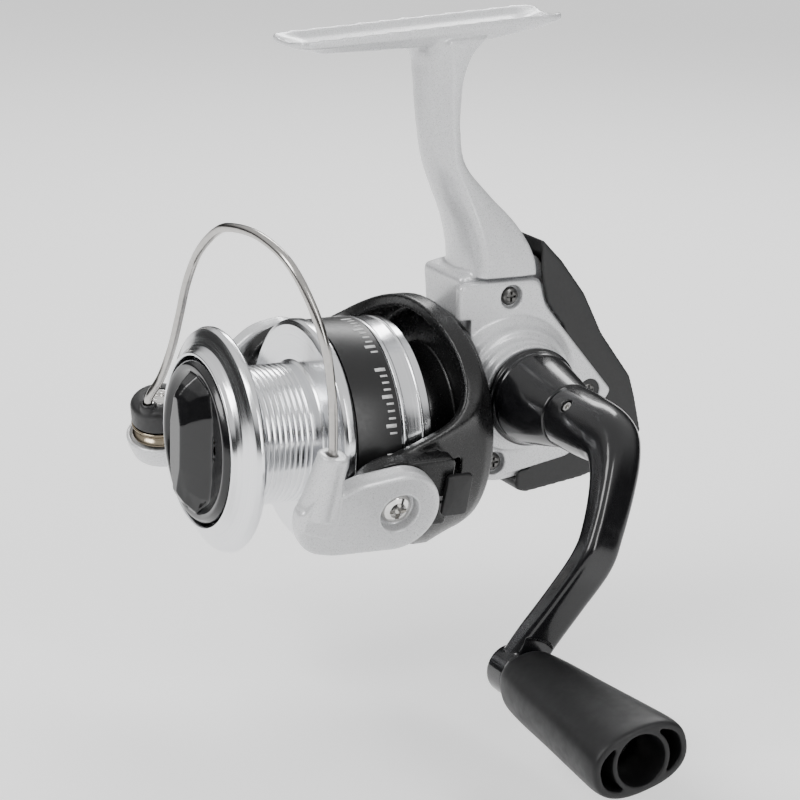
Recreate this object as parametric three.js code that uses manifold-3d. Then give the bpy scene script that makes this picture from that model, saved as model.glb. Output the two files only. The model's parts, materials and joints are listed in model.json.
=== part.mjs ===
// Open-face spinning reel, size 2500, as an assembly of separate pieces.
// Units are millimetres. X points to the crank side, -Y to the front of the spool, +Z up to the rod foot.
// Every piece is laid out about the spool axis (the Y axis of the `reel` group); the whole reel is then
// moved so that the origin lies on the flat seat in the foot's trough, where the rod blank rests.

import * as THREE from 'three';
import { mergeVertices } from 'three/addons/utils/BufferGeometryUtils.js';
import Module from 'manifold-3d';

const wasm = await Module();
wasm.setup();

// ---------------------------------------------------------------- driving dimensions

const FOOT = { front: -32.5, rear: 25.5, halfWidth: 7.25, edgeHeight: 80.9, pitchDeg: 4, trough: 2.2 };
const SEAT = { y: -3.5, halfWidth: 2.2 };

// The housing's and the cover's planes across X, from the far wall to the cover's outer face, and the
// [y, z] places of the cover's screws.
const HOUSING_X = [-10.2, 6];
const COVER_X = [6.3, 7.4, 9.3];
const SCREW_SPOTS = [[14.8, 26], [12.3, -8.6], [34.2, 4.6]];

const CRANK = { y: 15.6, z: 7.3, bossX: 12.5, collarX: 17.6, seamX: 33, reach: 47.9, restDeg: 26.9 };
const KNOB = { bossX: 50, startX: 56.6, endX: 98.2, turnDeg: 41 };
const SET_SCREW = { x: 38.4, angle: 2.87 };

const ROTOR_ANGLE = 16 * Math.PI / 180;
const PIVOT_Y = -20.3;
const ROTOR = { inner: 23.1, outer: 25.6, rear: 5.2, padIn: 24.2, padOut: 27.5, padRadius: 8.6 };
const HOLDER = { inside: 27.9, outside: 32.3, screwSeat: 29.7 };

// The line roller stands on its own short axis, leaning forward of the arms' vertical by `lean` degrees.
// Along that axis, the cap's flat top is at zero, and the roller and then the cup lie below it.
const ROLLER = { x: -29.5, y: -45.4, z: -7.6, lean: 12 };
const CAP_HEIGHT = 5.4;
const ROLLER_WIDTH = 3;
const CUP_DEPTH = 6.6;
const ROLLER_TOP = -CAP_HEIGHT - 0.25;
const CUP_RIM = ROLLER_TOP - ROLLER_WIDTH - 0.25;
const WIRE_RADIUS = 0.9;
const TOWER = { base: [30, -37.2, 1], top: [29.44, -35.2, 13.5], baseRadius: 3.7, topRadius: 3 };

const SPOOL = { nose: -49.7, lip: -45.4, arborFront: -43.4, arborRear: -28.4, skirt: -8.6 };
const ARBOR_RADIUS = 13.9;
const LIP_RADIUS = 22.4;
const SHAFT_RADIUS = 1.75;

const DRIVE = { ratio: 5, gearTeeth: 40, pinionTeeth: 8, pinionRadius: 3.4, front: 5.4, rear: 10.6 };
const DRIVE_FACE = { inner: 8.9, outer: 11.2, x: 3.1, back: 5.9 };
const GAP_DIRECTION = -123 * Math.PI / 180;
const CROSS = { y: 27.3, z: 0.5, pin: 5, pinionTeeth: 16, gearTeeth: 32, x0: -7.2, x1: -5.2 };
const BLOCK_Y = CROSS.y + CROSS.pin;
const GUIDE_Z = -5.8;
const LEVER = { y: 12.4, z: -11.4, tab: -17.4 };

const GAP = 0.3;

// ---------------------------------------------------------------- materials

const finish = (color, roughness, metalness) => ({ color, roughness, metalness });
const PEARL = finish(0xd6d8da, 0.35, 0.25);
const GLOSS_BLACK = finish(0x0c0c0e, 0.2, 0.1);
const SATIN_BLACK = finish(0x1a1b1d, 0.5, 0.1);
const MATTE_BLACK = finish(0x111214, 0.75, 0);
const ALUMINIUM = finish(0xc9cbcf, 0.22, 0.95);
const STEEL = finish(0xa9a8a4, 0.3, 1);
const CHROME = finish(0xd9d9d9, 0.1, 1);
const DARK_STEEL = finish(0x3b3b3d, 0.4, 0.9);
const BRASS = finish(0xb08a45, 0.35, 0.9);
const BRONZE = finish(0x8d7350, 0.3, 0.9);
const ZINC = finish(0x9b9c9f, 0.45, 0.8);
const FELT = finish(0x5a4a3a, 0.95, 0);
const NYLON = finish(0xd8d3c4, 0.6, 0);

// ---------------------------------------------------------------- geometry helpers

// A welded copy of a geometry that holds positions only, with its faces pointing outward.
function closed(geometry) {
  const bare = geometry.clone();
  bare.deleteAttribute('normal');
  bare.deleteAttribute('uv');
  const welded = mergeVertices(bare, 1e-4);
  const index = welded.index.array;
  const corner = [new THREE.Vector3(), new THREE.Vector3(), new THREE.Vector3()];
  const kept = [];
  let volume = 0;
  for (let i = 0; i < index.length; i += 3) {
    const [a, b, c] = [index[i], index[i + 1], index[i + 2]];
    if (a === b || b === c || a === c) continue;
    kept.push(a, b, c);
    [a, b, c].forEach((v, k) => corner[k].fromBufferAttribute(welded.attributes.position, v));
    volume += corner[0].dot(corner[1].cross(corner[2]));
  }
  if (volume < 0) {
    for (let i = 0; i < kept.length; i += 3) {
      [kept[i + 1], kept[i + 2]] = [kept[i + 2], kept[i + 1]];
    }
  }
  welded.setIndex(kept);
  return welded;
}

function toSolid(geometry) {
  const ready = closed(geometry);
  return new wasm.Manifold(new wasm.Mesh({
    numProp: 3,
    vertProperties: Float32Array.from(ready.attributes.position.array),
    triVerts: Uint32Array.from(ready.index.array),
  }));
}

function toGeometry(solid) {
  const mesh = solid.getMesh();
  const geometry = new THREE.BufferGeometry();
  geometry.setAttribute('position', new THREE.BufferAttribute(Float32Array.from(mesh.vertProperties), 3));
  geometry.setIndex(Array.from(mesh.triVerts));
  return geometry;
}

const cut = (body, ...tools) =>
  toGeometry(tools.reduce((rest, tool) => rest.subtract(toSolid(tool)), toSolid(body)));
const join = (body, ...more) =>
  toGeometry(more.reduce((sum, piece) => sum.add(toSolid(piece)), toSolid(body)));
const common = (body, ...masks) =>
  toGeometry(masks.reduce((rest, mask) => rest.intersect(toSolid(mask)), toSolid(body)));

// A profile of [radius, y] points turned about the Y axis. It starts and ends on the axis or is closed up.
function turned(profile, segments = 32) {
  const points = profile.map(([r, y]) => new THREE.Vector2(r, y));
  const last = points[points.length - 1];
  if (points[0].x > 0 || last.x > 0) points.push(points[0].clone());
  return closed(new THREE.LatheGeometry(points, segments));
}

const ring = (outer, inner, y0, y1, segments = 32) =>
  turned([[outer, y0], [outer, y1], [inner, y1], [inner, y0]], segments);
const rod = (radius, y0, y1, segments = 20) => turned([[0, y0], [radius, y0], [radius, y1],
  [0, y1]], segments);

// Turns a piece made about +Y so that its axis points along +X.
const alongX = (geometry) => geometry.clone().rotateZ(-Math.PI / 2);
// Turns a piece made about +Y so that its axis points along +Z.
const alongZ = (geometry) => geometry.clone().rotateX(Math.PI / 2);
const at = (geometry, x, y, z) => geometry.clone().translate(x, y, z);

// An outline of [y, z] points extruded from x0 to x1.
function slab(outline, x0, x1) {
  const shape = new THREE.Shape(outline.map(([y, z]) => new THREE.Vector2(y, z)));
  const geometry = new THREE.ExtrudeGeometry(shape, { depth: x1 - x0, bevelEnabled: false });
  const axes = new THREE.Matrix4().makeBasis(
    new THREE.Vector3(0, 1, 0), new THREE.Vector3(0, 0, 1), new THREE.Vector3(1, 0, 0));
  return closed(geometry.applyMatrix4(axes).translate(x0, 0, 0));
}

// An outline of [x, z] points extruded from y0 to y1.
function block(outline, y0, y1) {
  const shape = new THREE.Shape(outline.map(([x, z]) => new THREE.Vector2(x, -z)));
  const geometry = new THREE.ExtrudeGeometry(shape, { depth: y1 - y0, bevelEnabled: false });
  return closed(geometry.rotateX(-Math.PI / 2).translate(0, y0, 0));
}

const box = (x0, x1, y0, y1, z0, z1) =>
  closed(new THREE.BoxGeometry(x1 - x0, y1 - y0, z1 - z0)
    .translate((x0 + x1) / 2, (y0 + y1) / 2, (z0 + z1) / 2));

// Skins a run of equal-sized point rings, in order, with a flat fan over each end.
function loft(rings) {
  const count = rings[0].length;
  const cage = new THREE.CylinderGeometry(1, 1, 1, count, rings.length - 1);
  const position = cage.attributes.position;
  const turn = 2 * Math.PI / count;
  for (let i = 0; i < position.count; i += 1) {
    const [x, y, z] = [position.getX(i), position.getY(i), position.getZ(i)];
    const row = rings[Math.round((0.5 - y) * (rings.length - 1))];
    const slot = (Math.round(Math.atan2(x, z) / turn) + count) % count;
    const onRim = Math.hypot(x, z) > 0.5;
    const middle = new THREE.Vector3();
    row.forEach((point) => middle.addScaledVector(point, 1 / count));
    const target = onRim ? row[slot] : middle;
    position.setXYZ(i, target.x, target.y, target.z);
  }
  return closed(cage);
}

// A round or polygonal section swept along points that a smooth curve passes through.
function swept(points, radius, sides, steps) {
  const curve = new THREE.CatmullRomCurve3(points.map((p) => new THREE.Vector3(...p)), false, 'centripetal');
  const section = new THREE.Shape();
  for (let i = 0; i < sides; i += 1) {
    const angle = 2 * Math.PI * i / sides;
    const corner = [radius * Math.cos(angle), radius * Math.sin(angle)];
    if (i === 0) section.moveTo(...corner);
    else section.lineTo(...corner);
  }
  section.closePath();
  return closed(new THREE.ExtrudeGeometry(section, { steps, bevelEnabled: false, extrudePath: curve }));
}

// The outline of a spur gear about the origin as [a, b] points, with a tooth centred on the first axis.
function toothed(teeth, root, tip, rootShare = 0.56, tipShare = 0.22) {
  const outline = [];
  const pitch = 2 * Math.PI / teeth;
  for (let i = 0; i < teeth; i += 1) {
    const flanks = [[root, -rootShare / 2], [tip, -tipShare / 2], [tip, tipShare / 2], [root, rootShare / 2]];
    flanks.forEach(([radius, share]) => {
      const angle = pitch * (i + share);
      outline.push([radius * Math.cos(angle), radius * Math.sin(angle)]);
    });
  }
  return outline;
}

const moved = (outline, dy, dz) => outline.map(([y, z]) => [y + dy, z + dz]);
const spun = (outline, angle) => outline.map(([a, b]) => [
  a * Math.cos(angle) - b * Math.sin(angle), a * Math.sin(angle) + b * Math.cos(angle)]);

const reel = new THREE.Group();
const rotorFrame = new THREE.Group();
rotorFrame.rotation.y = ROTOR_ANGLE;
rotorFrame.position.y = PIVOT_Y;
reel.add(rotorFrame);

function place(name, geometry, look, group = reel) {
  const mesh = new THREE.Mesh(closed(geometry), new THREE.MeshStandardMaterial(look));
  mesh.name = name;
  group.add(mesh);
  return mesh;
}

// ---------------------------------------------------------------- foot, stem and housing

const PITCH = FOOT.pitchDeg * Math.PI / 180;

function footPlate() {
  const { front, rear, halfWidth: w, trough } = FOOT;
  const section = [
    [-w, 0], [-w + 0.9, -0.2], [-SEAT.halfWidth, -trough], [SEAT.halfWidth, -trough], [w - 0.9, -0.2], [w, 0],
    [w, -2], [w - 2.4, -5.5], [-w + 2.4, -5.5], [-w, -2]];
  const side = [
    [front, 1], [front, -1.6], [front + 6, -3.2], [-9, -4], [9, -4.2], [rear - 5, -3], [rear, -1.8],
    [rear, 1]];
  const plan = new THREE.Shape();
  plan.moveTo(-w, front + 5);
  plan.quadraticCurveTo(-w, front, -w + 4, front);
  plan.lineTo(w - 4, front);
  plan.quadraticCurveTo(w, front, w, front + 5);
  plan.lineTo(w, rear - 5);
  plan.quadraticCurveTo(w, rear, w - 4, rear);
  plan.lineTo(-w + 4, rear);
  plan.quadraticCurveTo(-w, rear, -w, rear - 5);
  const planForm = new THREE.ExtrudeGeometry(plan, { depth: 8, bevelEnabled: false, curveSegments: 5 });
  const plate = common(block(section, front, rear), slab(side, -w, w), planForm.translate(0, 0, -7));
  return plate.rotateX(PITCH).translate(0, 0, FOOT.edgeHeight);
}

// One level of the stem: a blunt nose at the front, two side strips and a flat back.
function stemRing(z, nose, ridge, back, width, tilt = 0) {
  const half = [[0.5, nose + 0.18 * (ridge - nose)], [0.86, nose + 0.6 * (ridge - nose)], [1, ridge],
    [0.98, back - 0.5], [0.72, back]];
  const right = half.map(([x, y]) => new THREE.Vector3(x * width, y, z + tilt * y));
  const left = half.map(([x, y]) => new THREE.Vector3(-x * width, y, z + tilt * y)).reverse();
  return [...right, ...left];
}

function stem() {
  const slope = Math.tan(PITCH);
  return loft([
    stemRing(77.6, -8.5, 0, 9, 6.9, slope),
    stemRing(74.5, -4.8, 0.6, 5.6, 6.7, slope),
    stemRing(70, -3.9, 1, 3.9, 6.5),
    stemRing(60, -2.6, 1.4, 3.7, 6.3),
    stemRing(53, -1, 2.2, 5.2, 6.4),
    stemRing(47, 1.4, 4.8, 10.2, 7),
    stemRing(40, 4.8, 7.5, 17, 8),
    stemRing(33, 6.6, 9, 21, 8.6),
    stemRing(26, 6.4, 9, 21.2, 8.6),
  ]);
}

const HOUSING_OUTLINE = [
  [6, 12], [5.2, 22], [4.4, 30], [22.4, 33.5], [32.6, 17], [41.2, 4.5], [43, -3], [36, -10.6],
  [14, -13.2], [6, -12]];
const POCKET_OUTLINE = [
  [7.4, 11], [7, 20], [14, 22], [24, 22.4], [31, 16.2], [39.6, 4], [41.2, -2.6], [35.2, -9], [14.4, -11.6],
  [7.4, -10.6]];
const COVER_OUTLINE = [
  [2.9, 29.2], [21.2, 29], [22.9, 23.7], [39.6, 4.2], [38.4, 2.4], [30.1, -9], [13.7, -11.9], [10.5, -12.4],
  [5.9, -2], [5.8, 12], [2.8, 21]];

function housing() {
  const [left, right] = HOUSING_X;
  const wall = 1.6;
  const shell = slab(HOUSING_OUTLINE, left, right);
  const flange = ring(18.6, 7.9, 2.5, 7.6, 28);
  const nose = ring(12.4, 7.9, -3.6, 4, 24);
  const flangeWindow = box(-7.6, 7.6, 3.9, 9, -7.2, 17.4);
  const leftBoss = at(alongX(turned([[0, 0], [12.4, 0], [13.4, 3], [13.4, 6], [0, 6]], 24)),
    0, CRANK.y, CRANK.z);
  const body = join(shell, footPlate(), stem(), flange, nose, at(leftBoss, -CRANK.bossX, 0, 0));
  const bearingBore = at(alongX(rod(6.9, -11.6, -7.9, 20)), 0, CRANK.y, CRANK.z);
  const shaftBore = at(alongX(rod(4.9, -20, -8, 20)), 0, CRANK.y, CRANK.z);
  const noseBore = rod(10.6, -5, 2.7, 24);
  const pinionBore = rod(7.9, -5, 9, 24);
  const gearRoom = slab(POCKET_OUTLINE, left + wall, right + 1);
  const gearSweep = at(alongX(rod(DRIVE_FACE.outer + 0.6, -8.4, 7, 24)), 0, CRANK.y, CRANK.z);
  const seams = slab([[-1, 26], [-1, 29.9], [26, 29.9], [26, 26]], right, 20);
  const coverRoom = box(right, 30, 5.4, 12, -22, 22);
  const screwHoles = SCREW_SPOTS.map(([y, z]) => at(alongX(rod(1.2, 3.9, 7, 10)), 0, y, z));
  const screwBosses = [box(3.2, right, 9.9, 14.7, -12.8, -6.3), box(3.2, right, 31.9, 39.6, 2.4, 6.9)];
  const leverSlot = box(-1.9, 1.9, LEVER.y - 3.2, LEVER.y + 4.4, -15, -8);
  const leverBore = at(alongX(rod(1.1, -3, 3, 10)), 0, LEVER.y, LEVER.z);
  const hollow = cut(body, flangeWindow, pinionBore, noseBore, gearRoom, gearSweep, bearingBore,
    shaftBore, seams,
    coverRoom);
  return cut(join(hollow, ...screwBosses), leverSlot, leverBore, ...screwHoles);
}

place('body_housing', housing(), PEARL);

function sideCover() {
  const [back, step, face] = COVER_X;
  const base = slab([...HOUSING_OUTLINE.slice(1, 3), [21.6, 29.2], ...HOUSING_OUTLINE.slice(4)], back, step);
  const plate = slab(COVER_OUTLINE, step - 0.2, face);
  const boss = at(alongX(turned([[0, step], [14.6, step], [14.2, face], [12.2, CRANK.bossX],
    [10.4, CRANK.bossX],
    [10.2, CRANK.collarX - 0.8], [0, CRANK.collarX - 0.8]], 36)), 0, CRANK.y, CRANK.z);
  const bearingBore = at(alongX(rod(6.9, 5, 11.9, 20)), 0, CRANK.y, CRANK.z);
  const shaftBore = at(alongX(rod(5.6, 5, 20, 20)), 0, CRANK.y, CRANK.z);
  const recesses = SCREW_SPOTS.map(([y, z]) => at(alongX(rod(2.3, step + 0.2, 12, 12)), 0, y, z));
  const holes = SCREW_SPOTS.map(([y, z]) => at(alongX(rod(1.3, 5, 12, 10)), 0, y, z));
  const rotorFree = box(-30, 30, -30, 5.7, -30, 22);
  return cut(join(base, plate, boss), bearingBore, shaftBore, rotorFree, ...recesses, ...holes);
}

place('side_cover', sideCover(), PEARL);

function crossHeadScrew(headRadius, headHeight, shankRadius, shankLength) {
  const screw = turned([[0, -shankLength], [shankRadius, -shankLength], [shankRadius, 0], [headRadius, 0],
    [headRadius, headHeight * 0.6], [headRadius * 0.7, headHeight], [0, headHeight]], 16);
  const slotHalf = headRadius * 0.16;
  const reach = headRadius * 0.55;
  const depth = headHeight * 0.5;
  const slotA = box(-reach, reach, depth, headHeight + 1, -slotHalf, slotHalf);
  const slotB = box(-slotHalf, slotHalf, depth, headHeight + 1, -reach, reach);
  return cut(screw, slotA, slotB);
}

SCREW_SPOTS.forEach(([y, z], i) => {
  place(`side_cover_screw_${i + 1}`, alongX(crossHeadScrew(1.9, 1.2, 0.9, 3.4)), DARK_STEEL)
    .position.set(COVER_X[1] + 0.5, y, z);
});

function rearGuard() {
  const outer = [[21.6, 37.4], [26.4, 32.6], [32.2, 25.2], [36.8, 16.4], [44.2, 6.6], [45.6, 2.2],
    [47.6, -5.8],
    [37, -13.2], [33.6, -14.2], [20.2, -16], [18, -15.2]];
  const inner = [[18, -13.2], [36.2, -11], [43.4, -3], [41.6, 4.7], [33, 17.2], [22.8, 33.9]];
  const band = slab([...outer, ...inner], -9.6, 8.6);
  const nearInner = [[18, -11.5], [30.4, -9.5], [38.9, 2.2], [40.2, 4.3], [23.3, 24], [21.9, 30]];
  const nearFlange = slab([...outer, ...nearInner], COVER_X[1] + GAP, 8.6);
  const farFlange = slab([...outer, ...nearInner], -11.6, HOUSING_X[0] - GAP);
  const farBand = slab([...outer, ...inner], -11.6, -9);
  const screwHole = at(alongX(rod(1.4, -20, -9, 10)), 0, 34, -8);
  const crankBoss = at(alongX(rod(14.2, -20, 20, 32)), 0, CRANK.y, CRANK.z);
  return cut(join(band, nearFlange, farFlange, farBand), screwHole, crankBoss);
}

place('rear_guard', rearGuard(), SATIN_BLACK);

// ---------------------------------------------------------------- bearings and one-way clutch

function bearing(outer, inner, y0, y1) {
  const edge = 0.3;
  return turned([[outer, y0 + edge], [outer, y1 - edge], [outer - edge, y1], [inner + edge, y1],
    [inner, y1 - edge], [inner, y0 + edge], [inner + edge, y0], [outer - edge, y0]], 18);
}

const HUB_RADIUS = 3.4;
place('drive_bearing_right', alongX(bearing(6.6, HUB_RADIUS + GAP, 8.2, 11.6)), STEEL)
  .position.set(0, CRANK.y, CRANK.z);
place('drive_bearing_left', alongX(bearing(6.6, HUB_RADIUS + GAP, -11.4, -8.4)), STEEL)
  .position.set(0, CRANK.y, CRANK.z);
place('pinion_bearing', bearing(7.6, 3.4, 2.7, 4.1), STEEL);
place('clutch_outer_race', ring(10.3, 7.7, -1.6, 2.4, 28), STEEL);

function clutchCage() {
  const rollers = [];
  for (let i = 0; i < 6; i += 1) {
    const angle = Math.PI / 3 * i;
    rollers.push(at(rod(0.75, -1.3, 2.1, 6), 6.55 * Math.cos(angle), 0, 6.55 * Math.sin(angle)));
  }
  return join(ring(7.1, 5.4, -1.1, 1.9, 20), ...rollers);
}

place('clutch_roller_cage', clutchCage(), NYLON);
place('clutch_cover', ring(12.1, 5.7, -4.3, -3.9, 28), SATIN_BLACK);
place('pinion_rear_bush', cut(join(ring(4.6, 2.45, 11, 13.2, 20), box(-4, 2.8, 11.2, 13, 3.4, 5.2)),
  box(2.8, 6, 10, 14, -6, 6)), BRONZE);

// ---------------------------------------------------------------- pinion, drive gear and crosswind gear

const MESH_RADIUS = 9.9;
const HELIX = Math.atan(
  (DRIVE.ratio * DRIVE.pinionRadius - Math.sqrt(MESH_RADIUS ** 2 - CRANK.z ** 2)) / CRANK.z);

// The toothed stretch of the pinion, its section turned steadily along Y to give the helix.
function pinionTeeth() {
  const { front, rear, pinionRadius, pinionTeeth: teeth } = DRIVE;
  const length = rear - front;
  const outline = toothed(teeth, pinionRadius - 0.62, pinionRadius + 0.5, 0.5, 0.16);
  const shape = new THREE.Shape(outline.map(([a, b]) => new THREE.Vector2(a, b)));
  const geometry = new THREE.ExtrudeGeometry(shape, { depth: length, steps: 5, bevelEnabled: false });
  const position = geometry.attributes.position;
  const twist = -Math.tan(HELIX) / pinionRadius;
  const vertex = new THREE.Vector3();
  const axis = new THREE.Vector3(0, 0, 1);
  for (let i = 0; i < position.count; i += 1) {
    vertex.fromBufferAttribute(position, i);
    vertex.applyAxisAngle(axis, twist * (vertex.z - length / 2));
    position.setXYZ(i, vertex.x, vertex.y, vertex.z);
  }
  return closed(geometry.rotateX(-Math.PI / 2).translate(0, front, 0));
}

function pinion() {
  const core = turned([[0, -12.2], [2.7, -12.2], [2.7, -9.6], [3.05, -9.4], [3.05, 5.2], [2.35, 5.4],
    [2.35, 13.4],
    [0, 13.4]], 16);
  return cut(join(core, pinionTeeth()), rod(SHAFT_RADIUS + 0.2, -20, 20, 16));
}

// Spur pair between the drive gear's hub and the crosswind gear.
const CENTRES = Math.hypot(CROSS.y - CRANK.y, CROSS.z - CRANK.z);
const CENTRE_LINE = Math.atan2(CROSS.z - CRANK.z, CROSS.y - CRANK.y);
const SPUR_MODULE = 2 * CENTRES / (CROSS.pinionTeeth + CROSS.gearTeeth);

function spurOutline(teeth, phase) {
  const radius = SPUR_MODULE * teeth / 2;
  return spun(toothed(teeth, radius - 1.15 * SPUR_MODULE, radius + 0.8 * SPUR_MODULE, 0.62, 0.26), phase);
}

// The crown gear: a plain blank with one wedge-shaped tooth gap cut again at every pitch. The gap runs
// nearly along a radius, in the direction the pinion's teeth slide through it.
function crownGap(turn) {
  const direction = GAP_DIRECTION + turn;
  const corner = (x, along, side) => new THREE.Vector3(
    x,
    along * Math.cos(direction) - side * Math.sin(direction),
    along * Math.sin(direction) + side * Math.cos(direction));
  const mouth = DRIVE_FACE.x - 0.3;
  const root = DRIVE_FACE.x + 1.12;
  return loft([[8, -2.86, -1.68], [12.6, -3.12, -1.66]].map(([along, low, high]) => [
    corner(mouth, along, low), corner(mouth, along, high),
    corner(root, along, high - 0.2), corner(root, along, low + 0.14)]));
}

function driveGear() {
  const { inner, outer, x, back } = DRIVE_FACE;
  const neck = 2.9;
  const blank = alongX(turned([[inner, x], [outer, x], [outer, back], [HUB_RADIUS, back],
    [HUB_RADIUS, 11.4], [2.3, 11.4], [2.3, -11.2], [HUB_RADIUS, -11.2], [HUB_RADIUS, CROSS.x1],
    [neck, CROSS.x1 + 0.4], [neck, x + 1.5], [inner, x + 1.5]], 24));
  const gaps = [];
  for (let i = 0; i < DRIVE.gearTeeth; i += 1) gaps.push(toSolid(crownGap(2 * Math.PI * i / DRIVE.gearTeeth)));
  const crown = toGeometry(toSolid(blank).subtract(wasm.Manifold.union(gaps)));
  const spur = cut(slab(spurOutline(CROSS.pinionTeeth, CENTRE_LINE), CROSS.x0, CROSS.x1),
    alongX(rod(3, -20, 20, 16)));
  return join(crown, spur);
}

function crosswindGear() {
  const halfPitch = Math.PI / CROSS.gearTeeth;
  const wheel = slab(spurOutline(CROSS.gearTeeth, CENTRE_LINE + Math.PI + halfPitch), CROSS.x0, CROSS.x1);
  const pin = at(alongX(rod(1.1, CROSS.x0 + 0.2, -4, 12)), 0, CROSS.pin, 0);
  return cut(join(wheel, pin), alongX(rod(1.8, -20, 20, 16)));
}

place('pinion_gear', pinion(), BRASS);
place('drive_gear', driveGear(), ZINC).position.set(0, CRANK.y, CRANK.z);
place('crosswind_gear', crosswindGear(), ZINC).position.set(0, CROSS.y, CROSS.z);
const gearAxle = turned([[0, -8.3], [1.5, -8.3], [1.5, -4.9], [2.2, -4.9], [2.2, -4.5], [0, -4.5]], 16);
place('crosswind_gear_axle', alongX(gearAxle), STEEL).position.set(0, CROSS.y, CROSS.z);

// ---------------------------------------------------------------- crank and knob

place('crank_shaft', box(-11.3, 31, -1.5, 1.5, -1.5, 1.5), STEEL).position.set(0, CRANK.y, CRANK.z);

function crankCollar() {
  const { collarX, seamX } = CRANK;
  return alongX(turned([[2.4, collarX - 0.3], [10.1, collarX - 0.3], [10.1, collarX + 0.9],
    [9.4, collarX + 1.2],
    [9.4, collarX + 2], [6.35, seamX - 0.15], [2.4, seamX - 0.15]], 32));
}

place('crank_collar', crankCollar(), GLOSS_BLACK).position.set(0, CRANK.y, CRANK.z);

// The arm, its knob and their fixings share a frame on the crank axis whose -Z points along the arm.
const crankFrame = new THREE.Group();
crankFrame.position.set(0, CRANK.y, CRANK.z);
crankFrame.rotation.x = -CRANK.restDeg * Math.PI / 180;
reel.add(crankFrame);

// One cross-section of the crank arm: a rectangle with wide chamfers, square to the direction of travel.
function armRing(x, reach, leanDeg, halfAcross, halfThrough, roundness) {
  const lean = leanDeg * Math.PI / 180;
  const points = [];
  for (let i = 0; i < 12; i += 1) {
    const angle = 2 * Math.PI * (i + 0.5) / 12;
    const [c, s] = [Math.cos(angle), Math.sin(angle)];
    const a = Math.sign(c) * Math.abs(c) ** roundness * halfAcross;
    const b = Math.sign(s) * Math.abs(s) ** roundness * halfThrough;
    points.push(new THREE.Vector3(x + b * Math.sin(lean), a, -reach + b * Math.cos(lean)));
  }
  return points;
}

function crankArm() {
  const stations = [
    [CRANK.seamX + 0.15, 0, 0, 6.35, 6.35, 1],
    [40, 0, 0, 6.3, 6.2, 1],
    [46, 0.3, 12, 5.6, 5.8, 0.9],
    [51.5, 2.8, 42, 4.6, 4.2, 0.75],
    [55.5, 8.6, 63, 4, 3.1, 0.65],
    [58.5, 16, 74, 3.7, 2.7, 0.65],
    [59.6, 22.4, 93, 3.7, 2.7, 0.65],
    [57, 32, 107, 3.6, 2.6, 0.65],
    [54.2, 41, 108, 3.8, 2.7, 0.7],
    [53, CRANK.reach - 1, 108, 4.2, 2.9, 0.8],
  ];
  const arm = loft(stations.map((station) => armRing(...station)));
  const boss = at(alongX(rod(4.9, KNOB.bossX, KNOB.startX - 0.5, 20)), 0, 0, -CRANK.reach);
  const spindleBore = at(alongX(rod(2.3, 40, 65, 14)), 0, 0, -CRANK.reach);
  const besideKnob = at(alongX(rod(8, KNOB.startX - 0.4, 80, 24)), 0, 0, -CRANK.reach);
  const shaftBore = alongX(rod(2.4, 30, 38, 14));
  const screwBore = at(rod(1.3, 3, 9, 12).rotateX(SET_SCREW.angle), SET_SCREW.x, 0, 0);
  return cut(join(arm, boss), spindleBore, besideKnob, shaftBore, screwBore);
}

place('crank_arm', crankArm(), GLOSS_BLACK, crankFrame);
place('crank_set_screw', rod(1, 3.2, 6, 12).rotateX(SET_SCREW.angle), STEEL, crankFrame)
  .position.x = SET_SCREW.x;

function knobSpindle() {
  const start = KNOB.bossX + 0.2;
  const head = KNOB.endX - 12.1;
  return alongX(turned([[0, start], [2, start], [2, head], [4, head], [4, head + 1.7], [0, head + 1.7]], 16));
}

place('knob_spindle', knobSpindle(), STEEL, crankFrame).position.z = -CRANK.reach;

function knobRing(x, halfWide, halfThin, turnDeg) {
  const points = [];
  const turn = turnDeg * Math.PI / 180;
  for (let i = 0; i < 20; i += 1) {
    const angle = 2 * Math.PI * i / 20;
    const a = Math.sign(Math.cos(angle)) * Math.abs(Math.cos(angle)) ** 0.85 * halfWide;
    const b = Math.sign(Math.sin(angle)) * Math.abs(Math.sin(angle)) ** 0.85 * halfThin;
    points.push(new THREE.Vector3(
      x, a * Math.cos(turn) - b * Math.sin(turn), a * Math.sin(turn) + b * Math.cos(turn)));
  }
  return points;
}

function crankKnob() {
  const { startX, endX } = KNOB;
  const length = endX - startX;
  const sections = [[0, 5.2, 5.2], [0.05, 6.3, 6], [0.2, 7.1, 6.2], [0.45, 7.9, 6.3], [0.75, 9.2, 6.4],
    [0.95, 9.9, 6.3], [1, 9.3, 5.8]];
  const grip = loft(sections.map(([t, wide, thin]) => knobRing(startX + t * length, wide, thin,
    KNOB.turnDeg)));
  const spindleBore = alongX(rod(2.35, startX - 5, endX, 16));
  const screwWell = alongX(rod(4.9, endX - 12.4, endX + 1, 24));
  const face = loft([knobRing(endX - 9, 8.1, 4.7, KNOB.turnDeg), knobRing(endX + 1, 8.5, 4.8, KNOB.turnDeg)]);
  const crescents = cut(face, alongX(rod(5.8, endX - 20, endX + 5, 24)));
  return cut(grip, spindleBore, screwWell, crescents);
}

place('crank_knob', crankKnob(), MATTE_BLACK, crankFrame).position.z = -CRANK.reach;

function shaftCap() {
  const cap = alongX(turned([[0, -16.4], [6.6, -16.4], [7.4, -15.8], [7.4, -12.8], [4.5, -12.8], [4.5, -11.7],
    [0, -11.7]], 24));
  return cut(cap, box(-18, -15.6, -5.4, 5.4, -0.7, 0.7));
}

place('shaft_bore_cap', shaftCap(), SATIN_BLACK).position.set(0, CRANK.y, CRANK.z);

// ---------------------------------------------------------------- anti-reverse lever

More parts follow.
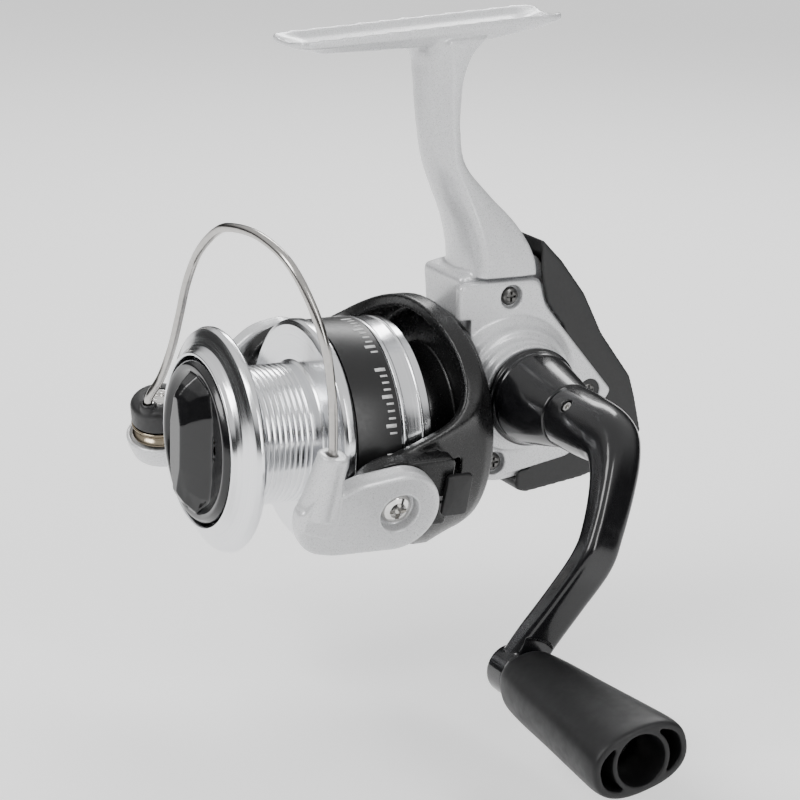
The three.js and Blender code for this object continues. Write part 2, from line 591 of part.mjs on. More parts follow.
function antiReverseLever() {
  const hub = alongX(rod(1.9, -1.5, 1.5, 16));
  const inside = box(-1.2, 1.2, -0.9, 0.9, 1.3, 3.2);
  const tab = box(-1.4, 1.4, -0.8, 0.8, LEVER.tab - LEVER.z, -1.3);
  return join(hub, inside, tab, alongX(rod(0.8, -2.8, 2.8, 12)));
}

place('anti_reverse_lever', antiReverseLever(), SATIN_BLACK).position.set(0, LEVER.y, LEVER.z);

// ---------------------------------------------------------------- main shaft and crosswind block

place('main_shaft', turned([[0, -47.2], [SHAFT_RADIUS - 0.3, -47.2], [SHAFT_RADIUS, -46.8],
  [SHAFT_RADIUS, BLOCK_Y + 2.3], [0, BLOCK_Y + 2.3]], 20), STEEL);

function crosswindBlock() {
  const body = box(-2.8, 2.8, -2.5, 2.5, -3.2, 3.2);
  const face = box(-3.7, -2.6, -2, 2, CROSS.z - 8.4, CROSS.z + 8.4);
  const lug = box(-2.8, 2.2, -2, 2, GUIDE_Z - 2, -3);
  const slot = box(-5.2, -2.9, -1.3, 1.3, CROSS.z - 7.9, CROSS.z + 7.9);
  const shaftBore = rod(SHAFT_RADIUS + 0.1, -9, 9, 20);
  const guideBore = at(rod(1.3, -9, 9, 14), 0, 0, GUIDE_Z);
  const screwBore = at(alongZ(rod(0.9, 1.6, 5, 10)), 0.6, 0, 0);
  return cut(join(body, face, lug), slot, shaftBore, guideBore, screwBore);
}

place('crosswind_block', crosswindBlock(), ZINC).position.set(0, BLOCK_Y, 0);
place('crosswind_block_screw', at(alongZ(rod(0.7, 2, 3.8, 10)), 0.6, BLOCK_Y, 0), STEEL);
place('crosswind_guide_rod', at(rod(1, 7.7, 36.9, 14), 0, 0, GUIDE_Z), STEEL);

// ---------------------------------------------------------------- rotor

// Height of the rotor's front edge at an angle from an arm's middle. The sweep repeats for the second arm.
const ROTOR_EDGE = [[-90, -3.6], [-60, -1.9], [-44, -2], [-33, -4], [-26, -8], [-19, -18.2],
  [-12, -24.4], [-7, -28],
  [7, -28], [13, -23], [20, -17.6], [29, -12], [38, -9.2], [50, -6.6], [65, -4.8], [90, -3.6]];

function rotorEdge(angle) {
  const folded = ((angle * 180 / Math.PI + 90) % 180 + 180) % 180 - 90;
  const after = ROTOR_EDGE.findIndex(([deg]) => deg >= folded);
  const [d1, y1] = ROTOR_EDGE[Math.max(after, 1)];
  const [d0, y0] = ROTOR_EDGE[Math.max(after, 1) - 1];
  return THREE.MathUtils.mapLinear(folded, d0, d1, y0, y1);
}

function rotorShell() {
  const { inner, outer, rear } = ROTOR;
  const front = -100;
  const profile = [[inner, front], [outer, front + 0.3], [outer, front + 3.2], [23.2, 2.6], [21.2, rear],
    [19.6, rear], [20.2, 1.8], [13.4, 1.8], [13.4, -4.6], [3.35, -4.6], [3.35, -9], [6.5, -9], [6.5, -6.4],
    [14, -6.4], [15, -5.6], [15, 0.2], [22, 0.2], [inner, -0.4]];
  const shell = turned(profile, 40);
  const position = shell.attributes.position;
  for (let i = 0; i < position.count; i += 1) {
    const y = position.getY(i);
    if (y < front / 2) {
      const angle = Math.atan2(-position.getZ(i), position.getX(i));
      position.setY(i, y - front + rotorEdge(angle));
    }
  }
  return shell;
}

// The flat pad on each arm that the bail turns on, in the arms' own frame with the pivot axis along X.
function armPad(side) {
  const pad = alongX(rod(ROTOR.padRadius, ROTOR.padIn, ROTOR.padOut, 28));
  const root = box(ROTOR.padIn, ROTOR.padOut, 0, 13.5, -ROTOR.padRadius + 0.6, ROTOR.padRadius - 0.6);
  const pieces = join(pad, root);
  return side > 0 ? pieces : pieces.rotateY(Math.PI);
}

function rotorBody() {
  const shell = rotorShell().translate(0, -PIVOT_Y, 0);
  const windows = [0, Math.PI].map((turn) => box(20, 24.6, 5, 17, -5, 5).rotateY(turn));
  const pivotBores = alongX(rod(1.9, -40, 40, 16));
  const springWell = alongX(rod(4.4, 26, 30, 20));
  return cut(join(shell, armPad(1), armPad(-1)), ...windows, pivotBores, springWell);
}

place('rotor', rotorBody(), SATIN_BLACK, rotorFrame);

const hexagon = (radius) => toothed(6, radius, radius, 0.001, 0.0005).filter((_, i) => i % 4 === 0);

place('rotor_nut', cut(block(hexagon(5.6), -12, -9.75), rod(3, -20, 0, 20)), BRASS);

const LOCK_SCREW_X = 9.6;
const lockPlate = join(block(hexagon(6.2), -13, -12.3), box(0, 11.4, -13, -12.3, -2, 2));
const lockHole = at(rod(1, -20, 0, 12), LOCK_SCREW_X, 0, 0);
place('rotor_nut_lock', cut(lockPlate, rod(3, -20, 0, 20), lockHole), STEEL);
const lockScrew = turned([[0, -15], [1.8, -15], [1.8, -13.3], [0.8, -13.3], [0.8, -6.8], [0, -6.8]], 14);
place('rotor_nut_lock_screw', lockScrew, DARK_STEEL).position.x = LOCK_SCREW_X;
place('clutch_sleeve', ring(5.1, 3.35, -1.5, 2.3, 20), STEEL);

function pivotScrew() {
  const { screwSeat } = HOLDER;
  const screw = crossHeadScrew(3.2, 1.5, 1.6, screwSeat - ROTOR.padIn);
  return alongX(screw).translate(screwSeat + 0.1, 0, 0);
}

place('bail_pivot_screw_near', pivotScrew(), CHROME, rotorFrame);
place('bail_pivot_screw_far', pivotScrew().rotateY(Math.PI), CHROME, rotorFrame);
place('bail_spring', alongX(ring(4.1, 2.6, 26.3, 27.6, 20)), STEEL, rotorFrame);
const springCover = box(ROTOR.padOut + 0.2, ROTOR.padOut + 1.4, 11.5, 17, -4.6, 4.6);
place('bail_spring_cover', springCover, SATIN_BLACK, rotorFrame);

// ---------------------------------------------------------------- bail, in the arms' frame

// Outline of the near holder as [y, z]: a round end on the pivot and a deep toe under the wire.
function holderOutline() {
  const radius = 8.8;
  const outline = [];
  for (let i = 0; i <= 12; i += 1) {
    const angle = (105 - 195 * i / 12) * Math.PI / 180;
    outline.push([radius * Math.cos(angle), radius * Math.sin(angle)]);
  }
  return [...outline, [-13, -8.6], [-17.4, -7.4], [-20, -5.4], [-21.2, -1.6], [-21.2, 2.4], [-12, 6.2]];
}

const WIRE_ROUTE = [[29.44, -35.2, 11.4], [29.2, -35.8, 17], [28.5, -37.1, 26], [26.3, -39, 35.6],
  [22.2, -40.8, 41.9],
  [15.3, -43.1, 47.2], [5.4, -44.9, 47.8], [-6.3, -45.9, 43.8], [-11.7, -45.8, 40.1], [-17.65, -45.6, 33.65],
  [-22.7, -44.7, 27], [-25.2, -44.5, 20.5], [-26.6, -44.4, 13], [-27.2, -45, 4.7], [-27, -45.7, -3.2]];
const inArms = ([x, y, z]) => [x, y - PIVOT_Y, z];

function cone(base, top, baseRadius, topRadius, sides) {
  const axis = new THREE.Vector3(...top).sub(new THREE.Vector3(...base));
  const upright = new THREE.CylinderGeometry(topRadius, baseRadius, axis.length(), sides);
  upright.translate(0, axis.length() / 2, 0);
  const turn = new THREE.Quaternion().setFromUnitVectors(new THREE.Vector3(0, 1, 0), axis.normalize());
  return closed(upright.applyQuaternion(turn).translate(...base));
}

function bailHolder() {
  const plate = slab(holderOutline(), HOLDER.inside, HOLDER.outside);
  const tower = cone(inArms(TOWER.base), inArms(TOWER.top), TOWER.baseRadius, TOWER.topRadius, 20);
  const bore = alongX(rod(1.9, 20, 40, 16));
  const recess = alongX(rod(4, HOLDER.screwSeat, 40, 24));
  const socketRadius = WIRE_RADIUS + GAP;
  const socket = cone(inArms([29.44, -35.2, 10.8]), inArms([29.3, -35.9, 16]),
    socketRadius, socketRadius, 14);
  const shaved = box(20, HOLDER.inside - 2.6, -30, 10, -20, 20);
  return cut(join(plate, tower), bore, recess, socket, shaved);
}

place('bail_holder', bailHolder(), PEARL, rotorFrame);
place('bail_wire', swept(WIRE_ROUTE.map(inArms), WIRE_RADIUS, 7, 40), STEEL, rotorFrame);

const rollerFrame = new THREE.Group();
rollerFrame.position.set(ROLLER.x, ROLLER.y - PIVOT_Y, ROLLER.z);
rollerFrame.rotation.x = Math.PI / 2 + ROLLER.lean * Math.PI / 180;
rotorFrame.add(rollerFrame);
rollerFrame.updateMatrix();

function bailLever() {
  const cup = turned([[0, CUP_RIM - CUP_DEPTH], [4.2, CUP_RIM - CUP_DEPTH + 0.3], [7, CUP_RIM - 3.4],
    [7.6, CUP_RIM],
    [6.9, CUP_RIM + 0.5], [6.7, CUP_RIM - 0.6], [2.6, CUP_RIM - 0.6], [2.6, CUP_RIM - 0.1],
    [0, CUP_RIM - 0.1]], 24)
    .applyMatrix4(rollerFrame.matrix);
  const disc = alongX(rod(8.2, -HOLDER.outside + 0.6, -HOLDER.inside, 24));
  const arm = slab([[5, 8], [-6, 7], [-16, -3], [-22, -12], [-22.5, -17], [-17, -17], [-8, -8], [4, -7.4]],
    -HOLDER.outside + 0.8, -HOLDER.inside);
  const bore = alongX(rod(1.9, -40, -20, 16));
  const recess = alongX(rod(4, -40, -HOLDER.screwSeat, 24));
  const screwBore = rod(1.5, CUP_RIM - 5, CUP_RIM + 6, 14).applyMatrix4(rollerFrame.matrix);
  const rollerRoom = rod(6.6, CUP_RIM, 2, 24).applyMatrix4(rollerFrame.matrix);
  return cut(join(disc, arm, cup), rollerRoom, bore, recess, screwBore);
}

place('bail_lever', bailLever(), PEARL, rotorFrame);

function rollerCap() {
  const cap = turned([[0, -CAP_HEIGHT], [6.1, -CAP_HEIGHT], [6.1, -1.6], [5.4, -0.5], [4.2, 0], [0, 0]], 24);
  const bump = cone([0, -3.4, 0], [0, 1.1, 0], 1.9, 1.7, 14).translate(2.4, 0, 3.2);
  const wireSocket = rod(WIRE_RADIUS + GAP, -2.6, 3, 14).translate(2.4, 0, 3.2);
  const screwBore = rod(1.5, -9, 2, 14);
  const screwWell = rod(3, -1.4, 2, 20);
  return cut(join(cap, bump), screwBore, screwWell, wireSocket);
}

place('line_roller_cap', rollerCap(), SATIN_BLACK, rollerFrame);
place('line_roller', turned([[2.5, ROLLER_TOP], [6.3, ROLLER_TOP], [6, ROLLER_TOP - 0.7],
  [5, ROLLER_TOP - 1.5],
  [6, ROLLER_TOP - 2.3], [6.3, ROLLER_TOP - ROLLER_WIDTH], [2.5, ROLLER_TOP - ROLLER_WIDTH]], 24),
  BRONZE, rollerFrame);
place('line_roller_bush', ring(2.2, 1.5, ROLLER_TOP - ROLLER_WIDTH, ROLLER_TOP, 16), NYLON, rollerFrame);
place('line_roller_screw', turned([[0, CUP_RIM - 4.4], [1.2, CUP_RIM - 4.4], [1.2, -1.2], [2.7, -1.2],
  [2.7, -0.2],
  [2.3, 0.1], [0, 0.1]], 20), CHROME, rollerFrame);

// ---------------------------------------------------------------- spool and drag

function spoolBody() {
  const { nose, lip, arborFront, arborRear, skirt } = SPOOL;
  return turned([
    [16.9, nose], [17.5, nose], [18.6, nose + 1], [21.6, lip - 1], [LIP_RADIUS, lip],
    [LIP_RADIUS - 0.2, lip + 1],
    [20.8, lip + 1.4], [ARBOR_RADIUS, arborFront], [ARBOR_RADIUS, arborRear], [21.4, arborRear],
    [22.4, arborRear + 0.8],
    [22.4, -25.7], [21.6, -25.4], [21.5, -15.4], [21.8, -15.2], [21.5, -10.8], [21.4, skirt], [20.2, skirt],
    [20.2, -26.6], [5.4, -26.6], [5.4, -24.4], [2.1, -24.4], [2.1, -32.6], [11.4, -32.6], [11.4, -45.8],
    [15.4, -45.8], [16.4, nose + 2.8]], 28);
}

place('spool', spoolBody(), ALUMINIUM);
place('spool_capacity_band', ring(22, 21.9, -25, -15.6, 28), SATIN_BLACK);

const DRAG_STACK = [['drag_felt_rear', FELT], ['drag_washer_keyed', STEEL], ['drag_felt_front', FELT],
  ['drag_pressure_plate', STEEL]];
const WASHER_PITCH = 1.7;
DRAG_STACK.forEach(([name, look], i) => {
  const rear = SPOOL.arborRear - 4.5 - i * WASHER_PITCH;
  place(name, ring(10.6, 2.2, rear - WASHER_PITCH + 0.3, rear, 20), look);
});
const STACK_FRONT = SPOOL.arborRear - 4.5 - DRAG_STACK.length * WASHER_PITCH;
place('drag_retaining_ring', ring(11.1, 9.9, STACK_FRONT - 0.7, STACK_FRONT, 24), STEEL);
place('drag_spring', ring(5.2, 3.9, -43.6, STACK_FRONT, 20), STEEL);
place('drag_nut', cut(block(hexagon(6.3), -46.4, -43.9), rod(SHAFT_RADIUS + 0.1, -50, -40, 20)), BRASS);
place('spool_support', ring(4.6, SHAFT_RADIUS + 0.1, -23.6, -21.6, 20), NYLON);
const ratchet = block(toothed(20, 6.4, 7.2, 0.7, 0.3), -24.1, -23.78);
place('click_ratchet', cut(ratchet, rod(2.2, -30, -20, 20)), STEEL);
place('click_pawl', box(8.4, 12.4, -26.2, -24.6, -1.1, 1.1), NYLON);

function dragKnob() {
  const disc = turned([[0, -51.2], [9, -51.2], [15.2, -49.6], [16.2, -48.6], [16.2, -47.2], [10.4, -46.4],
    [10.4, -42.6], [7.4, -42.6], [7.4, -49], [0, -49]], 32);
  const bar = loft([
    [[-5.2, -12.6], [-1.6, -15], [1.6, -15], [5.2, -12.6], [5.2, 12.6], [1.6, 15], [-1.6, 15], [-5.2, 12.6]],
    [[-3.6, -9], [-1, -11.6], [1, -11.6], [3.6, -9], [3.6, 9], [1, 11.6], [-1, 11.6], [-3.6, 9]],
  ].map((outline, i) => outline.map(([x, z]) => new THREE.Vector3(x, i ? -54.2 : -49.4, z))));
  const core = cut(join(disc, bar), block(hexagon(6.7), -49.6, -40));
  return cut(core, rod(SHAFT_RADIUS + 0.6, -49.6, -40, 16));
}

place('drag_knob', dragKnob(), GLOSS_BLACK);

const seat = new THREE.Vector3(0, SEAT.y, -FOOT.trough)
  .applyAxisAngle(new THREE.Vector3(1, 0, 0), PITCH)
  .add(new THREE.Vector3(0, 0, FOOT.edgeHeight));
reel.position.copy(seat).negate();

export default reel;
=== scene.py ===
"""Open-face spinning reel: the looks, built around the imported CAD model."""
import json
import math

import bmesh
import bpy
import numpy as np
from mathutils import Matrix, Vector


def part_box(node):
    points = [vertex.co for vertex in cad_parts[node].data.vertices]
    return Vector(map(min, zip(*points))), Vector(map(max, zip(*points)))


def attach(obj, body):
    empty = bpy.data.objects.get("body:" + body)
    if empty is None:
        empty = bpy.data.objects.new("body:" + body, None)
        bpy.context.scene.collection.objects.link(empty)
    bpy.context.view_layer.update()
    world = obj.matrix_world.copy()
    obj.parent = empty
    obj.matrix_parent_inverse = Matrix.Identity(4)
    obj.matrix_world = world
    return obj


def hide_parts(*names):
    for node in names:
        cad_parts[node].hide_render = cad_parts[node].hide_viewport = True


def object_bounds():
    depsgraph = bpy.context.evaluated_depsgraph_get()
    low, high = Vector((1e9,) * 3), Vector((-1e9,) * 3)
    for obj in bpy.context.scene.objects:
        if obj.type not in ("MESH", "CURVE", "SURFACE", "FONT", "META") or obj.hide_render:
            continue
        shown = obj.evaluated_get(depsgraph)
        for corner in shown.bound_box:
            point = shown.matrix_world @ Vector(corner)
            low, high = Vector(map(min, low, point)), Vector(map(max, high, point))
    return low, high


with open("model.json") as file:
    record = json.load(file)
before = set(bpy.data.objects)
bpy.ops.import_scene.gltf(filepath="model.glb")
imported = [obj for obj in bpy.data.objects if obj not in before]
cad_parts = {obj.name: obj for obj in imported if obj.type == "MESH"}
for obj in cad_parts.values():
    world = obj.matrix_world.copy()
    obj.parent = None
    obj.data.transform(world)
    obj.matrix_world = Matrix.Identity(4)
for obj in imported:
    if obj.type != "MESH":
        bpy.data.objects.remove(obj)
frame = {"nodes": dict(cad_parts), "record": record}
CAD_LOW, CAD_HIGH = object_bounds()

# ---------------------------------------------------------------- layout
# Shapes are laid out in millimetres about the spool axis, as in the CAD: +x to the crank side, -y to the
# front of the spool, +z up to the foot. The frame says where that axis is.

NOSE_Y = -49.7
PIVOT_Y = -20.3
ROTOR_DEG = 16.0
CRANK_Y, CRANK_Z, CRANK_REST_DEG, CRANK_REACH = 15.6, 7.3, 26.9, 47.9
KNOB_START, KNOB_END, KNOB_TURN_DEG = 56.6, 98.2, 41.0
FOOT_PITCH_DEG, FOOT_EDGE_Z = 4.0, 80.9
ROLLER_AT, ROLLER_LEAN_DEG = (-29.5, -25.1, -7.6), 12.0

SHAFT_LOW, SHAFT_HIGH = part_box("main_shaft")
SPOOL_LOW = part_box("spool")[0]
AXIS = Vector(((SHAFT_LOW.x + SHAFT_HIGH.x) / 2, SPOOL_LOW.y - NOSE_Y / 1000, (SHAFT_LOW.z + SHAFT_HIGH.z) / 2))


def turn(degrees, axis):
    return Matrix.Rotation(math.radians(degrees), 4, axis)


REEL = Matrix.Translation(AXIS) @ Matrix.Scale(0.001, 4)
ARMS = REEL @ Matrix.Translation((0, PIVOT_Y, 0)) @ turn(ROTOR_DEG, "Y")
CRANK_AXIS = REEL @ Matrix.Translation((0, CRANK_Y, CRANK_Z))
CRANK = CRANK_AXIS @ turn(-CRANK_REST_DEG, "X")
KNOB = CRANK @ Matrix.Translation((0, 0, -CRANK_REACH))
ROLLER_IN_ARMS = Matrix.Translation(ROLLER_AT) @ turn(90 + ROLLER_LEAN_DEG, "X")
ROLLER = ARMS @ ROLLER_IN_ARMS
ALONG_X = turn(-90, "Z")

# ---------------------------------------------------------------- mesh helpers


def new_object(name, points, faces):
    """A mesh object with its faces pointing out."""
    mesh = bpy.data.meshes.new(name)
    mesh.from_pydata([tuple(p) for p in points], [], faces)
    work = bmesh.new()
    work.from_mesh(mesh)
    bmesh.ops.remove_doubles(work, verts=work.verts, dist=1e-5)
    bmesh.ops.recalc_face_normals(work, faces=work.faces)
    work.to_mesh(mesh)
    work.free()
    obj = bpy.data.objects.new(name, mesh)
    bpy.context.scene.collection.objects.link(obj)
    return obj


def eased(outline, radius=0.3, steps=4, closed=True):
    """The outline with every corner replaced by a short curve."""
    corners = [Vector(p) for p in outline]
    count = len(corners)
    out = []
    for i, corner in enumerate(corners):
        before = corners[i - 1] - corner
        after = corners[(i + 1) % count] - corner
        at_end = not closed and i in (0, count - 1)
        if at_end or before.normalized().dot(after.normalized()) < -0.99:
            out.append(corner)
            continue
        reach = min(radius, before.length * 0.45, after.length * 0.45)
        start = corner + before.normalized() * reach
        end = corner + after.normalized() * reach
        for k in range(steps + 1):
            t = k / steps
            out.append(start * (1 - t) ** 2 + corner * (2 * t * (1 - t)) + end * t ** 2)
    return out


def smooth_path(points, count):
    """Evenly numbered samples of the centripetal curve through the points, of any dimension."""
    pts = np.array(points, float)
    gaps = np.sqrt(np.maximum(np.linalg.norm(np.diff(pts[:, :3], axis=0), axis=1), 1e-6))
    knots = np.concatenate([[0], np.cumsum(gaps)])
    slopes = np.gradient(pts, knots, axis=0)
    out = []
    for s in np.linspace(0, knots[-1], count):
        i = min(int(np.searchsorted(knots, s, side="right")) - 1, len(pts) - 2)
        h = knots[i + 1] - knots[i]
        t = (s - knots[i]) / h
        out.append((2 * t ** 3 - 3 * t ** 2 + 1) * pts[i] + (t ** 3 - 2 * t ** 2 + t) * h * slopes[i]
                   + (3 * t ** 2 - 2 * t ** 3) * pts[i + 1] + (t ** 3 - t ** 2) * h * slopes[i + 1])
    return np.array(out)


FRONT = -100


def lathe(name, profile, segments=128, ease=0.25, front_edge=None):
    """A profile of (radius, y) points turned about y. It starts and ends on the axis, or is a closed loop.
    Points near y = FRONT are moved to front_edge(angle), which shapes an edge that rises and falls."""
    on_axis = profile[0][0] == 0 and profile[-1][0] == 0
    points = eased(profile, ease, closed=not on_axis) if ease else [Vector(p) for p in profile]
    verts, faces = [], []
    count = len(points)
    for k in range(segments):
        angle = 2 * math.pi * k / segments
        for r, y in points:
            height = y if front_edge is None or y > FRONT / 2 else y - FRONT + front_edge(angle)
            verts.append((r * math.cos(angle), height, -r * math.sin(angle)))
    for k in range(segments):
        here, there = k * count, (k + 1) % segments * count
        for i in range(count - 1 if on_axis else count):
            j = (i + 1) % count
            if points[i][0] < 1e-6 and points[j][0] < 1e-6:
                continue
            quad = [here + i, here + j, there + j, there + i]
            if points[i][0] < 1e-6:
                quad = quad[:3]
            elif points[j][0] < 1e-6:
                quad = [quad[0], quad[1], quad[3]]
            faces.append(quad)
    return new_object(name, verts, faces)


def loft(name, rings):
    """A skin over equal-sized rings of points, with a flat fan over each end."""
    count = len(rings[0])
    verts = [tuple(p) for ring in rings for p in ring]
    faces = [[r * count + i, r * count + (i + 1) % count, (r + 1) * count + (i + 1) % count, (r + 1) * count + i]
             for r in range(len(rings) - 1) for i in range(count)]
    for ring_index in (0, len(rings) - 1):
        middle = len(verts)
        verts.append(tuple(np.mean(np.array(rings[ring_index], float), axis=0)))
        first = ring_index * count
        faces += [[first + i, first + (i + 1) % count, middle] for i in range(count)]
    return new_object(name, verts, faces)


def inset(outline, amount):
    """A closed 2-D outline moved inward all round."""
    pts = np.array([tuple(p) for p in outline], float)
    ahead = np.roll(pts, -1, axis=0) - pts
    ahead /= np.maximum(np.linalg.norm(ahead, axis=1, keepdims=True), 1e-9)
    along = ahead + np.roll(ahead, 1, axis=0)
    along /= np.maximum(np.linalg.norm(along, axis=1, keepdims=True), 1e-9)
    area = np.sum(pts[:, 0] * np.roll(pts[:, 1], -1) - np.roll(pts[:, 0], -1) * pts[:, 1])
    inward = np.stack([-along[:, 1], along[:, 0]], axis=1) * np.sign(area)
    return pts + inward * amount


def plate(name, outline, low, high, edge=0.5, corner=0.8, steps=4):
    """An outline of (y, z) points between two x planes, its edges and corners rounded."""
    smooth = eased(outline, corner, 5)
    rings = []
    for k in range(2 * steps + 2):
        side = k > steps
        angle = math.pi / 2 * ((2 * steps + 1 - k) if side else k) / steps
        depth = edge * (1 - math.cos(angle))
        level = high - depth if side else low + depth
        flat = inset(smooth, edge * (1 - math.sin(angle)))
        rings.append([(level, y, z) for y, z in flat])
    return loft(name, rings)


def bar(x0, x1, y0, y1, z0, z1):
    corners = [(y0, z0), (y1, z0), (y1, z1), (y0, z1)]
    return loft("cutter", [[(x, y, z) for y, z in corners] for x in (x0, x1)])


def tube(name, route, radius, sides=20, steps=260):
    """A round rod along a smooth route."""
    path = smooth_path(route, steps)
    ahead = np.gradient(path, axis=0)
    ahead /= np.linalg.norm(ahead, axis=1, keepdims=True)
    side = np.cross(ahead[0], (0, 1, 0))
    rings = []
    for centre, forward in zip(path, ahead):
        side = side - forward * np.dot(side, forward)
        side /= np.linalg.norm(side)
        other = np.cross(forward, side)
        rings.append([centre + radius * (math.cos(a) * side + math.sin(a) * other)
                      for a in np.linspace(0, 2 * math.pi, sides, endpoint=False)])
    return loft(name, rings)


def bake(obj):
    """Applies the object's modifiers to its mesh."""
    graph = bpy.context.evaluated_depsgraph_get()
    mesh = bpy.data.meshes.new_from_object(obj.evaluated_get(graph))
    obj.modifiers.clear()
    obj.data = mesh


def placed(obj, matrix):
    obj.data.transform(matrix)
    return obj


def x_rod(radius, x0, x1, y=0.0, z=0.0, segments=64):
    rod = lathe("cutter", [(0, x0), (radius, x0), (radius, x1), (0, x1)], segments, ease=0)
    return placed(rod, Matrix.Translation((0, y, z)) @ ALONG_X)


def y_rod(radius, y0, y1, segments=64):
    return lathe("cutter", [(0, y0), (radius, y0), (radius, y1), (0, y1)], segments, ease=0)


def cast(name, parts, cuts, voxel, passes):
    """Fuses closed pieces into one moulded body, cuts it, and rounds every edge as a casting's are."""
    mesh = bpy.data.meshes.new(name)
    obj = bpy.data.objects.new(name, mesh)
    bpy.context.scene.collection.objects.link(obj)
    work = bmesh.new()
    for part in parts:
        work.from_mesh(part.data)
    work.to_mesh(mesh)
    work.free()
    remesh = obj.modifiers.new("fuse", "REMESH")
    remesh.mode = "VOXEL"
    remesh.voxel_size = voxel
    bake(obj)
    for cutter in cuts:
        difference = obj.modifiers.new("cut", "BOOLEAN")
        difference.operation = "DIFFERENCE"
        difference.solver = "MANIFOLD"
        difference.object = cutter
    if cuts:
        bake(obj)
        remesh = obj.modifiers.new("even", "REMESH")
        remesh.mode = "VOXEL"
        remesh.voxel_size = voxel
    soften = obj.modifiers.new("soften", "SMOOTH")
    soften.factor = 0.5
    soften.iterations = passes
    bake(obj)
    for spare in list(parts) + list(cuts):
        bpy.data.objects.remove(spare)
    return obj


def piece(obj, matrix, body, material, stands_for=(), sharp_deg=32):
    """Puts a finished shape in the row frame, gives it its material and body, and hides the CAD parts it stands for."""
    obj.data.transform(matrix)
    obj.data.shade_smooth()
    if sharp_deg:
        obj.data.set_sharp_from_angle(angle=math.radians(sharp_deg))
    obj.data.materials.clear()
    obj.data.materials.append(material)
    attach(obj, body)
    if stands_for:
        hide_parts(*stands_for)
    return obj


# ---------------------------------------------------------------- materials


class Surface:
    """A node material in millimetre coordinates about the spool axis."""

    def __init__(self, name, roughness, metallic=0.0, coat=0.0, coat_roughness=0.06, specular=0.5, sheen=0.0):
        self.material = bpy.data.materials.new(name)
        self.material.use_nodes = True
        self.nodes = self.material.node_tree.nodes
        self.links = self.material.node_tree.links
        self.shader = self.nodes["Principled BSDF"]
        values = {"Roughness": roughness, "Metallic": metallic, "Coat Weight": coat,
                  "Coat Roughness": coat_roughness, "Specular IOR Level": specular, "Sheen Weight": sheen}
        for socket, value in values.items():
            self.shader.inputs[socket].default_value = value
        coordinates = self.nodes.new("ShaderNodeTexCoord")
        mapping = self.nodes.new("ShaderNodeMapping")
        mapping.vector_type = "POINT"
        mapping.inputs["Location"].default_value = -AXIS * 1000
        mapping.inputs["Scale"].default_value = (1000, 1000, 1000)
        self.links.new(coordinates.outputs["Object"], mapping.inputs["Vector"])
        self.position = mapping.outputs["Vector"]

    def node(self, kind, inputs=None, **properties):
        made = self.nodes.new(kind)
        for key, value in properties.items():
            setattr(made, key, value)
        for key, value in (inputs or {}).items():
            socket = made.inputs[key]
            if isinstance(value, bpy.types.NodeSocket):
                self.links.new(value, socket)
            else:
                socket.default_value = value
        return made

    def noise(self, scale, detail=3.0, vector=None, stretch=None):
        """Cloud noise whose features are about 1/scale millimetres across."""
        source = vector or self.position
        if stretch:
            source = self.node("ShaderNodeMapping", {"Vector": source, "Scale": stretch}).outputs["Vector"]
        made = self.node("ShaderNodeTexNoise", {"Vector": source, "Scale": scale, "Detail": detail})
        return made.outputs["Fac"]

    def cells(self, scale):
        made = self.node("ShaderNodeTexVoronoi", {"Vector": self.position, "Scale": scale})
        return self.node("ShaderNodeSeparateColor", {"Color": made.outputs["Color"]}).outputs["Red"]

    def around_axis(self):
        """Coordinates (distance from the spool axis, y, 0): constant round a turned part."""
        split = self.node("ShaderNodeSeparateXYZ", {"Vector": self.position})
        flat = self.node("ShaderNodeCombineXYZ", {"X": split.outputs["X"], "Y": split.outputs["Z"]})
        length = self.node("ShaderNodeVectorMath", {0: flat.outputs["Vector"]}, operation="LENGTH")
        joined = self.node("ShaderNodeCombineXYZ", {"X": length.outputs["Value"], "Y": split.outputs["Y"]})
        return joined.outputs["Vector"]

    def span(self, value, low, high, from_low=0.3, from_high=0.7):
        made = self.node("ShaderNodeMapRange", {"Value": value, "From Min": from_low, "From Max": from_high,
                                                "To Min": low, "To Max": high})
        return made.outputs["Result"]

    def blend(self, factor, first, second):
        made = self.node("ShaderNodeMix", {"Factor": factor}, data_type="RGBA")
        made.inputs["A"].default_value = (*first, 1)
        made.inputs["B"].default_value = (*second, 1)
        return made.outputs["Result"]

    def colour(self, value):
        self.links.new(value, self.shader.inputs["Base Color"])

    def rough(self, value):
        self.links.new(value, self.shader.inputs["Roughness"])

    def bump(self, *layers):
        """Each layer is (height, depth in millimetres)."""
        normal = None
        for height, depth in layers:
            inputs = {"Height": height, "Distance": depth / 1000, "Strength": 1.0}
            if normal:
                inputs["Normal"] = normal
            normal = self.node("ShaderNodeBump", inputs).outputs["Normal"]
        self.links.new(normal, self.shader.inputs["Normal"])


def pearl_paint():
    """Silver-white paint with fine metal flake under a clear coat."""
    s = Surface("pearl_paint", 0.34, metallic=0.32, coat=0.55, coat_roughness=0.1)
    flake = s.cells(9.0)
    s.colour(s.blend(flake, (0.50, 0.505, 0.515), (0.70, 0.705, 0.715)))
    s.rough(s.span(s.cells(7.0), 0.26, 0.42, 0, 1))
    s.bump((s.noise(0.35, 1.0), 0.006), (s.noise(3.5, 3.0), 0.002))
    return s.material


def black_gloss():
    """Black enamel: clear coat over a near-black base with faint orange peel."""
    s = Surface("black_gloss", 0.2, coat=0.3, coat_roughness=0.08, specular=0.4)
    s.colour(s.blend(s.noise(1.2), (0.003, 0.003, 0.0035), (0.006, 0.006, 0.007)))
    s.rough(s.span(s.noise(0.8, 4.0), 0.16, 0.24))
    s.bump((s.noise(0.5, 1.0), 0.004), (s.noise(5.0, 2.0), 0.0006))
    return s.material


